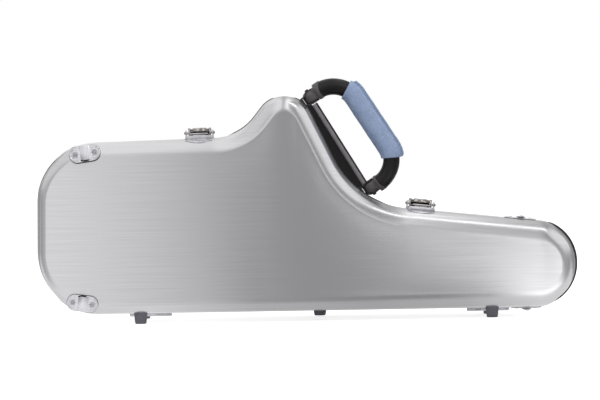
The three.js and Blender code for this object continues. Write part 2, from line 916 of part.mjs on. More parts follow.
// The bail is a bent wire: two ends in the lever's flanges, two legs and a cross bar.
function latchBail() {
  const legX = bailHalfWidth;
  const end = leverWidth / 2;
  const bend = bailWire * 1.6;
  const tipY = -bailReach;
  const path = new THREE.CurvePath();
  const v = (x, y, z) => new THREE.Vector3(x, y, z);
  const line = (a, b) => path.add(new THREE.LineCurve3(a, b));
  const turn = (a, b, c) => path.add(new THREE.QuadraticBezierCurve3(a, b, c));
  line(v(-end, 0, 0), v(-legX - bend, 0, 0));
  turn(v(-legX - bend, 0, 0), v(-legX, 0, 0), v(-legX, -bend, 0));
  line(v(-legX, -bend, 0), v(-legX, tipY + bend, bailRise));
  turn(v(-legX, tipY + bend, bailRise), v(-legX, tipY, bailRise), v(-legX + bend, tipY, bailRise));
  line(v(-legX + bend, tipY, bailRise), v(legX - bend, tipY, bailRise));
  turn(v(legX - bend, tipY, bailRise), v(legX, tipY, bailRise), v(legX, tipY + bend, bailRise));
  line(v(legX, tipY + bend, bailRise), v(legX, -bend, 0));
  turn(v(legX, -bend, 0), v(legX, 0, 0), v(legX + bend, 0, 0));
  line(v(legX + bend, 0, 0), v(end, 0, 0));
  const section = new THREE.Shape();
  section.absarc(0, 0, bailWire, 0, Math.PI * 2, false);
  const g = new THREE.ExtrudeGeometry(section, {
    steps: bailSteps,
    curveSegments: 3,
    extrudePath: path,
    bevelEnabled: false,
  });
  return solidOf(g);
}

// The keeper: a lug that the bail's bar lies over, a tongue, and a round dished plate
// that follows the shell's shoulder.
function latchKeeper() {
  const tongueFrom = -keeperSide;
  const lugBack = -lugSide + lugThickness / 2;
  const lugFront = -lugSide - lugThickness / 2;
  const high = seatGap + latchPlate;
  const tongueTo = -keeperTongueEnd;
  const t = keeperTongueWidth / 2;
  const tongue = box(-t, t, tongueFrom, tongueTo, seatGap, high);
  const w = lugWidth / 2;
  const lug = box(-w, w, lugFront, lugBack, seatGap + latchPlate / 2, lugHeight);
  const rise = keeperThickness + keeperRimHeight;
  const profile = [
    new THREE.Vector2(0, -keeperDrop),
    new THREE.Vector2(keeperRadius, -keeperDrop),
    new THREE.Vector2(keeperRadius, rise * 0.8),
    new THREE.Vector2(keeperRadius - keeperRim / 2, rise),
    new THREE.Vector2(keeperRadius - keeperRim, rise),
    new THREE.Vector2(keeperRadius - keeperRim * 2, keeperThickness),
    new THREE.Vector2(0, keeperThickness),
  ];
  const g = new THREE.LatheGeometry(profile, keeperSteps);
  g.rotateX(quarter);
  g.rotateX(THREE.MathUtils.degToRad(keeperTiltDegrees));
  g.translate(0, -keeperSide - keeperRadius / 2, -keeperDrop / 2);
  return tongue.add(lug).add(solidOf(g));
}

// One latch stands before the bend at the waist, the other past the bend at the slope's
// foot and clear of the handle.
const pastSlope = arcPoint(slopeFoot, 1).at.x + centring + rightLatchRun;
const latchPlaces = {
  left: arcPoint(waist, 0).at.x + centring - leftLatchRun,
  right: Math.max(pastSlope, lowerPivot.x + latchHandleRun),
};
Object.entries(latchPlaces).forEach(([which, place]) => {
  const latch = edgeGroup(place, true, -1, 0, 0, 0);
  latch.add(piece(`latch_base_${which}`, latchBase(), looks.nickel));
  const lever = piece(`latch_lever_${which}`, latchLever(), looks.nickel);
  lever.position.set(0, latchPivotSide, latchPivotHeight);
  const bail = piece(`latch_bail_${which}`, latchBail(), looks.nickel);
  bail.position.set(0, latchPivotSide + bailPivotReach, latchPivotHeight - bailPivotDrop);
  latch.add(lever, bail);
  const lidSide = latch.clone();
  lidSide.clear();
  const keeper = seated(lidSide, latchKeeper(), filled.front, liftZ);
  lidSide.add(piece(`latch_keeper_${which}`, keeper, looks.nickel));
  const screwY = latchSideGap + latchBaseWidth * 0.86;
  const screwZ = seatGap + latchPlate;
  [-1, 1].forEach((end) => {
    const letter = end < 0 ? 'a' : 'b';
    const x = (end * latchScrewSpacing) / 2;
    latch.add(screw(`latch_screw_${which}_${letter}`, x, screwY, screwZ, 1));
  });
  const tilt = THREE.MathUtils.degToRad(keeperTiltDegrees);
  const head = screw(`keeper_screw_${which}`, 0, 0, 0, 1);
  head.rotation.x = tilt;
  head.position.set(
    0,
    -keeperSide - keeperRadius / 2 - (keeperThickness + seatGap) * Math.sin(tilt),
    -keeperDrop / 2 + (keeperThickness + seatGap) * Math.cos(tilt),
  );
  lidSide.add(head);
  rearGroup.add(latch);
  lidGroup.add(lidSide);
});

// Strap anchors.
// A stamped plate with round ends and a bridge that a strap hook passes under.
function strapAnchor() {
  const half = anchorLength / 2;
  const halfWidth = anchorWidth / 2;
  const profile = new THREE.Shape();
  profile.moveTo(-half, -anchorRoot);
  profile.lineTo(-half, anchorPlate);
  profile.lineTo(-bridgeHalfLength - bridgeSheet, anchorPlate);
  profile.absellipse(
    0,
    anchorPlate,
    bridgeHalfLength + bridgeSheet,
    bridgeHeight - anchorPlate,
    Math.PI,
    0,
    true,
    0,
  );
  profile.lineTo(half, anchorPlate);
  profile.lineTo(half, -anchorRoot);
  profile.closePath();
  const tunnel = new THREE.Path();
  tunnel.moveTo(bridgeHalfLength, anchorPlate);
  tunnel.absellipse(
    0,
    anchorPlate,
    bridgeHalfLength,
    bridgeHeight - anchorPlate - bridgeSheet,
    0,
    Math.PI,
    false,
    0,
  );
  tunnel.closePath();
  profile.holes.push(tunnel);
  const body = slabXZ(profile, -halfWidth, halfWidth, 8);
  const plan = new THREE.Shape();
  plan.moveTo(-half + halfWidth, -halfWidth);
  plan.lineTo(half - halfWidth, -halfWidth);
  plan.absarc(half - halfWidth, 0, halfWidth, -quarter, quarter, false);
  plan.lineTo(-half + halfWidth, halfWidth);
  plan.absarc(-half + halfWidth, 0, halfWidth, quarter, quarter * 3, false);
  plan.closePath();
  const tall = anchorRoot + bridgeHeight;
  const g = new THREE.ExtrudeGeometry(plan, {
    depth: tall * 2,
    bevelEnabled: false,
    curveSegments: 6,
  });
  g.translate(0, 0, -tall);
  return body.intersect(solidOf(g));
}

function addAnchor(name, place, upper, tiltDegrees, sideways, inset) {
  const seat = edgeGroup(place, upper, -1, tiltDegrees, sideways, inset);
  const body = seated(seat, strapAnchor(), filled.front, liftZ);
  seat.add(piece(`strap_anchor_${name}`, body, looks.nickel));
  [-1, 1].forEach((end) => {
    const letter = end < 0 ? 'a' : 'b';
    seat.add(screw(`anchor_screw_${name}_${letter}`, end * anchorScrewReach, 0, anchorPlate, 1));
  });
  lidGroup.add(seat);
}

// On the shoulder the plate leans forward with the rounded edge of the shell. The one
// at the neck end of the base lies beside the hinge.
const hingeEnd = hingePlaceShares.right * caseLength + hingeLength / 2;
const besideHinge = hingeEnd + anchorHingeGap + anchorLength / 2;
[true, false].forEach((upper) => {
  const level = upper ? 'top' : 'base';
  const leftPlace = (upper ? anchorPlaceShares.topLeft : anchorPlaceShares.baseLeft) * caseLength;
  const rightPlace = upper ? anchorPlaceShares.topRight * caseLength : besideHinge;
  const tilt = THREE.MathUtils.degToRad(anchorShoulderTiltDegrees);
  const radius = edgeRadiusAt(leftPlace);
  const shoulderY = -(depthAt(leftPlace) - radius + radius * Math.sin(tilt));
  const inset = draft + radius * (1 - Math.cos(tilt));
  addAnchor(`${level}_left`, leftPlace, upper, anchorShoulderTiltDegrees, shoulderY, inset);
  addAnchor(`${level}_right`, rightPlace, upper, 0, -anchorWallSide, 0);
});

// Feet and bumpers.
function foot(height, top, bottom) {
  const profile = [
    new THREE.Vector2(0, -footRoot),
    new THREE.Vector2(top, -footRoot),
    new THREE.Vector2(bottom + footEdge / 3, height - footEdge),
    new THREE.Vector2(bottom - footEdge, height),
    new THREE.Vector2(0, height),
  ];
  const g = new THREE.LatheGeometry(profile, footSteps);
  g.rotateX(quarter);
  return solidOf(g);
}

function addFoot(group, name, place, sideways, height, top, bottom) {
  const seat = edgeGroup(place, false, 1, 0, sideways, 0);
  const tool = sideways > 0 ? filled.rear : filled.front;
  const body = seated(seat, foot(height, top, bottom), tool, liftZ);
  seat.add(piece(name, body, looks.rubber));
  group.add(seat);
}

Object.entries(footPlaceShares).forEach(([which, share]) => {
  const side = which === 'left' ? wideFootSide : neckFootSide;
  const place = share * caseLength;
  const sizes = [standHeight, footTopRadius, footBottomRadius];
  addFoot(rearGroup, `rear_foot_${which}`, place, side, ...sizes);
  addFoot(lidGroup, `front_foot_${which}`, place, -side, ...sizes);
});
const bumperPlace = bumperPlaceShare * caseLength;
const stub = [bumperHeight, bumperRadius, bumperRadius - footEdge];
addFoot(rearGroup, 'rear_bumper', bumperPlace, bumperSide, ...stub);
addFoot(lidGroup, 'front_bumper', bumperPlace, -bumperSide, ...stub);

// Handle.
// Local frame: X along the pivots, from the upper to the lower one, Y out of the case,
// Z towards the front.
const handleMatrix = new THREE.Matrix4().makeBasis(
  new THREE.Vector3(handleRun.x, 0, handleRun.y),
  new THREE.Vector3(-handleRun.y, 0, handleRun.x),
  new THREE.Vector3(0, -1, 0),
);
handleMatrix.setPosition(upperPivot.x, handleSide, upperPivot.y);
const handleSeat = new THREE.Group();
handleSeat.applyMatrix4(handleMatrix);
handleSeat.updateMatrixWorld(true);

function bracket(lower) {
  const inside = eyeThickness / 2 + eyeGap;
  const outside = inside + earThickness;
  const half = bracketDepth / 2;
  const at = lower ? handlePivotSpacing : 0;
  const deep = -bracketBase - overrun;
  const floor = -bracketBase * 0.78;
  let body = box(at - outside, at + outside, deep, floor, -half, half);
  [-1, 1].forEach((end) => {
    const x0 = end > 0 ? at + inside : at - outside;
    const x1 = x0 + earThickness;
    const ear = box(x0, x1, floor - seatGap, 0, -earRadius, earRadius);
    body = body.add(ear).add(rod('x', earRadius, x0, x1, 0, 0, roundSteps));
  });
  const bore = rod('x', pivotPinRadius + runningGap, at - overrun, at + overrun, 0, 0, roundSteps);
  return body.subtract(bore);
}

// The mount fills the space between the brackets, from the shell to its top.
function mount() {
  const gap = eyeThickness / 2 + eyeGap + earThickness + mountEndGap;
  const half = mountWidth / 2;
  return box(gap, handlePivotSpacing - gap, -overrun, mountTop, -half, half);
}

function mountCap() {
  const gap = eyeThickness / 2 + eyeGap + earThickness + mountEndGap + capEndGap;
  const half = capWidth / 2;
  const x0 = gap;
  const x1 = handlePivotSpacing - gap;
  const y0 = mountTop + seatGap;
  const y1 = y0 + capThickness;
  const s = new THREE.Shape();
  s.moveTo(-half, y0);
  s.lineTo(half, y0);
  s.lineTo(half * 0.9, y0 + capThickness * 0.5);
  s.lineTo(half * 0.5, y0 + capThickness * 0.9);
  s.lineTo(0, y1);
  s.lineTo(-half * 0.5, y0 + capThickness * 0.9);
  s.lineTo(-half * 0.9, y0 + capThickness * 0.5);
  s.closePath();
  const g = new THREE.ExtrudeGeometry(s, { depth: x1 - x0, bevelEnabled: false });
  g.rotateY(quarter);
  g.translate(x0, 0, 0);
  return solidOf(g);
}

function seatedMount(solid) {
  return seated(handleSeat, solid, filled.rear, liftY);
}

// The loop's centre line: a leg, an elbow, the grip, an elbow and a leg. Each station
// is a place in the local X and Y with the direction that leads outwards there.
const armReach = gripReach - elbowRise;
const elbowCurve = new THREE.CubicBezierCurve3(
  new THREE.Vector3(0, armReach, 0),
  new THREE.Vector3(0, armReach + elbowRise * elbowFullnessShare, 0),
  new THREE.Vector3(elbowRun * (1 - elbowFullnessShare), gripReach, 0),
  new THREE.Vector3(elbowRun, gripReach, 0),
);
function elbowStations(from, steps) {
  const run = [];
  for (let k = 0; k <= steps; k += 1) {
    const t = lerp(from, 1, k / steps);
    const at = elbowCurve.getPoint(t);
    const heading = elbowCurve.getTangent(t);
    run.push({ x: at.x, y: at.y, nx: -heading.y, ny: heading.x });
  }
  return run;
}
function mirrored(stations) {
  return stations.map((q) => ({ ...q, x: handlePivotSpacing - q.x, nx: -q.nx })).reverse();
}

// A section of [sideways, outwards] points carried along the stations, closed at both ends.
function sweep(stations, section) {
  const skin = new Skin();
  const rings = stations.map((q) =>
    skin.add(section.map(([side, out]) => [q.x + q.nx * out, q.y + q.ny * out, side])),
  );
  for (let k = 0; k + 1 < rings.length; k += 1) skin.strip(rings[k], rings[k + 1], false);
  const flat = section.map(([a, b]) => new THREE.Vector2(a, b));
  THREE.ShapeUtils.triangulateShape(flat, []).forEach(([a, b, c]) => {
    const first = rings[0];
    const last = rings[rings.length - 1];
    const forward = THREE.ShapeUtils.area([flat[a], flat[b], flat[c]]) > 0;
    skin.faces.push(forward ? [first[a], first[c], first[b]] : [first[a], first[b], first[c]]);
    skin.faces.push(forward ? [last[a], last[b], last[c]] : [last[a], last[c], last[b]]);
  });
  return skin.solid();
}

function circleSection(radius, count) {
  return Array.from({ length: count }, (_, k) => {
    const a = (k / count) * Math.PI * 2;
    return [radius * Math.sin(a), radius * Math.cos(a)];
  }).reverse();
}

function handleLoop() {
  const foot = [{ x: 0, y: legStart, nx: -1, ny: 0 }];
  const start = [...foot, ...elbowStations(0, 7)];
  let loop = sweep([...start, ...mirrored(start)], circleSection(gripRadius, roundSteps));
  const half = eyeThickness / 2;
  const side = eyeRadius * 0.8;
  [0, handlePivotSpacing].forEach((at) => {
    const eye = rod('x', eyeRadius, at - half, at + half, 0, 0, roundSteps);
    const neck = box(at - half, at + half, 0, legStart + gripRadius / 2, -side, side);
    const bore = pivotPinRadius + runningGap;
    const hole = rod('x', bore, at - overrun, at + overrun, 0, 0, roundSteps);
    loop = loop.add(eye.add(neck).subtract(hole));
  });
  return loop;
}

// The wrap goes round the grip; its sewn seam stands out along the outer side.
function handleWrap() {
  const outer = circleSection(wrapRadius, roundSteps * 2);
  const half = wrapFinThickness / 2;
  const tall = wrapRadius + wrapFinHeight;
  const top = outer.findIndex(([side, out]) => Math.abs(side) < half && out > 0);
  outer.splice(top, 1, [half, wrapRadius], [half, tall], [-half, tall], [-half, wrapRadius]);
  const start = elbowStations(wrapStartShare, 3);
  const body = sweep([...start, ...mirrored(start)], outer);
  const reach = new THREE.Vector2(start[0].ny, -start[0].nx).multiplyScalar(overrun);
  const ahead = { ...start[0], x: start[0].x - reach.x, y: start[0].y - reach.y };
  const through = [ahead, ...start];
  const bore = circleSection(gripRadius + wrapGap, roundSteps);
  return body.subtract(sweep([...through, ...mirrored(through)], bore));
}

// Each pin has its head on the outer ear and ends flush with the inner one.
function pivotPin(at, outer) {
  const half = eyeThickness / 2 + eyeGap + earThickness;
  const shaftEnds = [at - outer * half, at + outer * (half + pivotPinHead)];
  const headEnds = [at + outer * (half + seatGap), at + outer * (half + pivotPinHead)];
  const between = (radius, ends) =>
    rod('x', radius, Math.min(...ends), Math.max(...ends), 0, 0, roundSteps);
  return between(pivotPinRadius, shaftEnds).add(between(pivotPinRadius * 1.6, headEnds));
}

handleSeat.add(piece('handle_bracket_upper', seatedMount(bracket(false)), looks.grey));
handleSeat.add(piece('handle_bracket_lower', seatedMount(bracket(true)), looks.grey));
handleSeat.add(piece('handle_mount', seatedMount(mount()), looks.black));
handleSeat.add(piece('handle_mount_cap', mountCap(), looks.strip));
handleSeat.add(piece('handle_pin_upper', pivotPin(0, -1), looks.grey));
handleSeat.add(piece('handle_pin_lower', pivotPin(handlePivotSpacing, 1), looks.grey));
handleSeat.add(piece('handle_loop', handleLoop(), looks.black));
handleSeat.add(piece('handle_wrap', handleWrap(), looks.leather));
rearGroup.add(handleSeat);

// The origin is under the middle of the whole case, on the floor.
const whole = new THREE.Box3().setFromObject(saxCase);
const middle = whole.getCenter(new THREE.Vector3());
saxCase.position.set(-middle.x, -middle.y, 0);

export default saxCase;
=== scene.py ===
# %% [markdown]
# # A shaped hard case for a tenor saxophone
#
# The case is two deep brushed-metal shells that meet at a rubber seal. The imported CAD
# model gives every piece its place and its joint. Here each visible piece gets a finer
# surface, worked out with numpy, and a finish made of shader nodes.

# %% The frame
import json
import math

import bmesh
import bpy
import numpy as np
from mathutils import Matrix, Vector

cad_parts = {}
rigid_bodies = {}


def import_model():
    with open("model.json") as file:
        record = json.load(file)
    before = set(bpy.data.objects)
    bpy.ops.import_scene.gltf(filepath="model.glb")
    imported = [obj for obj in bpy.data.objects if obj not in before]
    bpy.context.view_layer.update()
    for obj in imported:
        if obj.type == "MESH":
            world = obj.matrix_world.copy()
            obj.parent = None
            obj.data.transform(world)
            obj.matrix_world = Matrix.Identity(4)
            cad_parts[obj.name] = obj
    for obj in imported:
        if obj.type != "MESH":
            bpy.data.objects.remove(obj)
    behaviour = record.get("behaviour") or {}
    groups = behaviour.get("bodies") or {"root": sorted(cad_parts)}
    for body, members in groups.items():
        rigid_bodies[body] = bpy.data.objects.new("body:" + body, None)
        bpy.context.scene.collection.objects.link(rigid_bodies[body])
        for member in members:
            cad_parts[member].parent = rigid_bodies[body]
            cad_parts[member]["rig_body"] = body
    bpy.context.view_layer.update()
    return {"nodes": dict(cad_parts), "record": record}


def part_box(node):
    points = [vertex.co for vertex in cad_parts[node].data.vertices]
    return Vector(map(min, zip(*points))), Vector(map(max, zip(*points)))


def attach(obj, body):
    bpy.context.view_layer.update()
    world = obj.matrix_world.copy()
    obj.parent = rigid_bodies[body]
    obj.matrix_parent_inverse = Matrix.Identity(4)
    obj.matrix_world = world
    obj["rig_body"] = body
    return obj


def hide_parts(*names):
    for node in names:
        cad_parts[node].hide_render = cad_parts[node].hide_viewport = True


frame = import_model()
nodes = frame["nodes"]
scene = bpy.context.scene
MM = 0.001
seal_low, seal_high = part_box("rim_seal")
PARTING = np.array([(seal_low[0] + seal_high[0]) / 2, (seal_low[1] + seal_high[1]) / 2, 0.0])

# %% [markdown]
# ## Surfaces from grids
#
# A surface can be modelled by hand, cut from blocks or written as a formula. These shells
# follow exact outlines, so formulas suit them: a grid of points, one row after another,
# becomes a mesh of four-sided faces. A row that closes on itself is a ring.

# %% Grids and meshes


def xyz(x, y, z):
    """Points from three amounts, each of them a number or an array."""
    return np.stack(np.broadcast_arrays(x, y, z), axis=-1)


def ring_faces(rows, columns, closed_rows=False, closed_columns=True):
    """Four corner numbers for each cell of a grid: row r and r + 1, column c and c + 1,
    where the last column or row meets the first again if the grid is closed that way."""
    r = np.arange(rows if closed_rows else rows - 1)
    c = np.arange(columns if closed_columns else columns - 1)
    row, column = (a.ravel() for a in np.meshgrid(r, c, indexing="ij"))
    row2, column2 = (row + 1) % rows, (column + 1) % columns
    corners = [row * columns + column, row * columns + column2]
    corners += [row2 * columns + column2, row2 * columns + column]
    return np.stack(corners, axis=1)


def volume_of(points, faces):
    """The room inside closed faces: the sum of the corner products of their triangles, a
    sixth of each. It is below zero where the faces point inwards."""
    total = 0.0
    for group in faces:
        a = points[group[:, 0]]
        for k in range(1, group.shape[1] - 1):
            b, c = points[group[:, k]], points[group[:, k + 1]]
            total += (a * np.cross(b, c)).sum() / 6
    return total


# %% A surface that gathers its parts


class Surface:
    """Points and faces that are gathered part by part and then made one mesh."""

    def __init__(self):
        self.points, self.faces, self.uvs, self.count = [], [], [], 0

    def add(self, points, faces, uv=None):
        points = np.asarray(points, float).reshape(-1, 3)
        uv = points[:, [0, 2]] if uv is None else np.asarray(uv, float).reshape(-1, 2)
        first = self.count
        self.points.append(points)
        self.uvs.append(uv)
        for group in faces if isinstance(faces, list) else [faces]:
            self.faces.append(np.asarray(group, int) + first)
        self.count += len(points)
        return first

    def closed(self, points, faces):
        """Adds a closed part, turned so that its faces point outwards."""
        if volume_of(np.asarray(points, float), faces) < 0:
            faces = [f[:, ::-1] for f in faces]
        return self.add(points, faces)

    def grid(self, points, closed_rows=False, closed_columns=True, flip=False, uv=None):
        """A grid of rows and columns of points."""
        points = np.asarray(points, float)
        faces = ring_faces(points.shape[0], points.shape[1], closed_rows, closed_columns)
        return self.add(points, faces[:, ::-1] if flip else faces, uv)

    def tube(self, rows):
        """Rings of points with both ends closed by a fan around their middle."""
        rows = np.asarray(rows, float)
        n, m = rows.shape[:2]
        ends = np.stack([rows[0].mean(axis=0), rows[-1].mean(axis=0)])
        k = np.arange(m)
        k2 = (k + 1) % m
        near = np.stack([np.full(m, n * m), k2, k], axis=1)
        far = np.stack([np.full(m, n * m + 1), (n - 1) * m + k, (n - 1) * m + k2], axis=1)
        points = np.concatenate([rows.reshape(-1, 3), ends])
        return self.closed(points, [ring_faces(n, m), near, far])

    def mesh(self, name):
        points = np.concatenate(self.points) * MM + PARTING
        uvs = np.concatenate(self.uvs) * MM
        corners = np.concatenate([f.ravel() for f in self.faces])
        sizes = np.concatenate([np.full(len(f), f.shape[1]) for f in self.faces])
        starts = np.concatenate([[0], np.cumsum(sizes)[:-1]])
        made = bpy.data.meshes.new(name)
        made.vertices.add(len(points))
        made.vertices.foreach_set("co", points.ravel())
        made.loops.add(len(corners))
        made.loops.foreach_set("vertex_index", corners)
        made.polygons.add(len(sizes))
        made.polygons.foreach_set("loop_start", starts)
        made.update(calc_edges=True)
        layer = made.uv_layers.new(name="grain")
        layer.data.foreach_set("uv", uvs[corners].ravel())
        made.polygons.foreach_set("use_smooth", np.ones(len(sizes), bool))
        return made


# %% From a surface to a piece


def tube_of(rows):
    """A surface that holds one closed tube."""
    made = Surface()
    made.tube(rows)
    return made


def piece(name, surface, material, body, replaces=(), sharp=35.0):
    """Makes the object, gives it its finish and its body, and hides what it stands for."""
    made = bpy.data.objects.new(name, surface.mesh(name))
    scene.collection.objects.link(made)
    joined = bmesh.new()
    joined.from_mesh(made.data)
    bmesh.ops.remove_doubles(joined, verts=joined.verts, dist=1e-6)
    joined.to_mesh(made.data)
    joined.free()
    made.data.materials.append(material)
    made.data.set_sharp_from_angle(angle=math.radians(sharp))
    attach(made, body)
    if replaces:
        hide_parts(*replaces)
    print(name, len(made.data.polygons), "faces")
    return made


# %% [markdown]
# ## The outline of the case
#
# Seen from the front the case has seven corners: the wide end for the bow and the body,
# the rise over the bell, the long slope and the slim end for the neck. Each corner is an
# arc that touches the straight edges beside it, the way a template maker draws it.

# %% Sizes of the shells, in millimetres
CASE_LENGTH = 882.0
STAND = 14.6
CORNER_SHARES = np.array([-0.4989, -0.4937, -0.1197, -0.026, 0.0969, 0.5011, 0.4987])
CORNER_HEIGHTS = np.array([0.0, 276.0, 283.1, 389.6, 170.3, 133.2, 0.0])
CORNER_RADII = np.array([101.0, 98.0, 88.0, 47.0, 147.0, 68.5, 68.5])
BASE_LEFT, TOP_LEFT, WAIST, PEAK, SLOPE_FOOT, NECK_TOP, NECK_BASE = range(7)
DEPTHS = (98.0, 84.0)
TAPER_SHARES = (-0.07, 0.5)
EDGE_RADII = (17.0, 26.0)
DRAFT = 4.0
WALL = 4.5
CROWNS = (0.4, 1.1)
CROWN_EASE = 0.8
LIP_INSET = 1.3
WALL_INSET = 7.0
STRAIGHT_BAND = 30.0
HALF_SEAL = 1.2
SEAT_GAP = 0.3
print("case", CASE_LENGTH, "mm long with", len(CORNER_RADII), "corners")

# %% The outline as arrays
corner_at = np.stack([CORNER_SHARES * CASE_LENGTH, CORNER_HEIGHTS + STAND], axis=1)


def unit(v):
    return v / np.linalg.norm(v, axis=-1, keepdims=True)


def turned(v, angle):
    """Vectors turned by an angle, each x and z by the cosine and the sine."""
    c, s = np.cos(angle), np.sin(angle)
    return np.stack([v[..., 0] * c - v[..., 1] * s, v[..., 0] * s + v[..., 1] * c], axis=-1)


corner_into = unit(corner_at - np.roll(corner_at, 1, axis=0))
corner_out = np.roll(corner_into, -1, axis=0)
corner_turn = np.arctan2(
    corner_into[:, 0] * corner_out[:, 1] - corner_into[:, 1] * corner_out[:, 0],
    (corner_into * corner_out).sum(axis=1),
)
arc_start = corner_at - corner_into * (CORNER_RADII * np.tan(np.abs(corner_turn) / 2))[:, None]
arc_side = np.sign(corner_turn)[:, None] * CORNER_RADII[:, None]
arc_centre = arc_start + turned(corner_into, math.pi / 2) * arc_side


# %% Arcs and straight edges


def arc(corner, start, end, steps, last=False):
    """Points on one corner's arc: the spoke from its centre turned by shares of the bend.
    The second pair of columns is the direction that leads into the case."""
    angle = corner_turn[corner] * np.linspace(start, end, steps + 1)
    spoke = arc_start[corner] - arc_centre[corner]
    at = arc_centre[corner] + turned(np.broadcast_to(spoke, (steps + 1, 2)), angle)
    heading = turned(np.broadcast_to(corner_into[corner], (steps + 1, 2)), angle)
    run = np.concatenate([at, heading[:, 1:], -heading[:, :1]], axis=1)
    return run if last else run[:-1]


def straight(corner, shares):
    """Points on the straight edge after a corner, at shares of its length."""
    following = (corner + 1) % 7
    a, b = arc(corner, 0, 1, 1, True)[1], arc(following, 0, 1, 1, True)[0]
    at = a[:2] + (b[:2] - a[:2]) * np.asarray(shares)[:, None]
    return np.concatenate([at, np.broadcast_to(a[2:], (len(at), 2))], axis=1)


def even(count):
    return np.arange(count) / count


# %% The whole outline
HALF = 18
left_chain = np.concatenate(
    [arc(BASE_LEFT, 0.5, 1, HALF), straight(BASE_LEFT, even(14)), arc(TOP_LEFT, 0, 0.5, HALF)]
)
top_middle = np.concatenate(
    [
        straight(TOP_LEFT, even(26)),
        arc(WAIST, 0, 1, 22),
        straight(WAIST, even(7)),
        arc(PEAK, 0, 1, 30),
        straight(PEAK, even(18)),
        arc(SLOPE_FOOT, 0, 1, 36),
        straight(SLOPE_FOOT, even(26)),
    ]
)
top_chain = np.concatenate(
    [arc(TOP_LEFT, 0.5, 1, HALF), top_middle, arc(NECK_TOP, 0, 0.5, HALF)]
)
right_chain = np.concatenate(
    [arc(NECK_TOP, 0.5, 1, HALF), straight(NECK_TOP, even(14)), arc(NECK_BASE, 0, 0.5, HALF)]
)
top_end = arc(NECK_TOP, 0, 1, 1, True)[0, 0]
bottom_shares = (top_end - top_middle[::-1, 0]) / (top_end - top_middle[0, 0])
bottom_chain = np.concatenate(
    [
        arc(NECK_BASE, 0.5, 1, HALF),
        straight(NECK_BASE, np.concatenate([[0.0], bottom_shares[:-1]])),
        arc(BASE_LEFT, 0, 0.5, HALF),
    ]
)
outline = np.concatenate([left_chain, top_chain, right_chain, bottom_chain])
ACROSS, ALONG = len(left_chain), len(top_chain)
outline_low, outline_high = outline[:, 0].min(), outline[:, 0].max()
centring = -(outline_low + outline_high) / 2
outline[:, 0] += centring
print("outline", len(outline), "points, centred by", round(centring, 3))

# %% Depth and edge radius along the case


def depth_at(x):
    """The depth of a shell: deep over the wide half, easing smoothly to the slim end."""
    s = np.clip((x / CASE_LENGTH - TAPER_SHARES[0]) / (TAPER_SHARES[1] - TAPER_SHARES[0]), 0, 1)
    return DEPTHS[0] + (DEPTHS[1] - DEPTHS[0]) * s * s * (3 - 2 * s)


def edge_radius_at(x):
    """The radius of the rounded edge, growing evenly from the wide end to the slim end."""
    share = np.clip((x - outline_low - centring) / (outline_high - outline_low), 0, 1)
    return EDGE_RADII[0] + (EDGE_RADII[1] - EDGE_RADII[0]) * share


def ring(inset, depth):
    """The outline moved in by an inset, at a depth from the seam. Both may vary with x."""
    x, z = outline[:, 0] + outline[:, 2] * inset, outline[:, 1] + outline[:, 3] * inset
    return xyz(x, depth, z)


print("depth at both ends", depth_at(np.array([-CASE_LENGTH, CASE_LENGTH]) / 2))


# %% [markdown]
# ## The shells
#
# A real shell is one pressed sheet: a wall with a little draft, a rounded edge and a face
# that bulges slightly. The wall and the edge are rings of the outline. The face blends
# the four sides of the last ring and is raised by a soft crown. The sheet
# was brushed while flat, so the grain coordinates are the sheet unfolded.

# %% A shell's sections


def end_weight():
    """0 along the case and 1 round its two ends, easing in over 30 mm."""
    t = np.clip((np.abs(outline[:, 0]) - 385) / 30, 0, 1)
    return t * t * (3 - 2 * t)


def outer_section(side):
    """Rings from the seam to the face: a small rolled lip, the wall, straight at first and
    then leaning in, and a quarter of an ellipse: inset w + b (1 - cos a), depth
    d - r (1 - sin a). Round the ends of the front the wall leans in from the lip on."""
    x = outline[:, 0]
    radius, depth = edge_radius_at(x), depth_at(x)
    more = end_weight() * (1.0 if side < 0 else 0.0)
    lip, wall = LIP_INSET * more, DRAFT + (WALL_INSET - DRAFT) * more
    parting = HALF_SEAL + SEAT_GAP
    steps = [(0.9, 0.0), (0.25, 0.25), (0.0, 0.9), (0.0, 2.2)]
    rings = [ring(lip + inset, side * (parting + rise)) for inset, rise in steps]
    bend = depth - radius
    for share in np.linspace(0.08, 0.96, 8):
        level = parting + 2.2 + (bend - parting - 2.2) * share
        straight_in = lip + (wall - lip) * share
        kink = np.clip((level - STRAIGHT_BAND) / (bend - STRAIGHT_BAND), 0, 1)
        kinked = DRAFT * kink * kink * (2 - kink) ** 0.5
        rings.append(ring(more * straight_in + (1 - more) * kinked, side * level))
    for angle in np.linspace(0, math.pi / 2, 17):
        inset = wall + (DRAFT + radius - wall) * (1 - np.cos(angle))
        rings.append(ring(inset, side * (depth - radius * (1 - np.sin(angle)))))
    return np.stack(rings)


def inner_section(side):
    """The same section one wall thickness inside, from the seam to the hollow's floor."""
    x = outline[:, 0]
    radius, depth = edge_radius_at(x), depth_at(x)
    rings = [ring(WALL, side * (HALF_SEAL + SEAT_GAP))]
    for angle in np.linspace(0, math.pi / 2, 7):
        inset = DRAFT + radius - (radius - WALL) * np.cos(angle)
        rings.append(ring(inset, side * (depth - radius + (radius - WALL) * np.sin(angle))))
    return np.stack(rings)


# %% The face of a shell


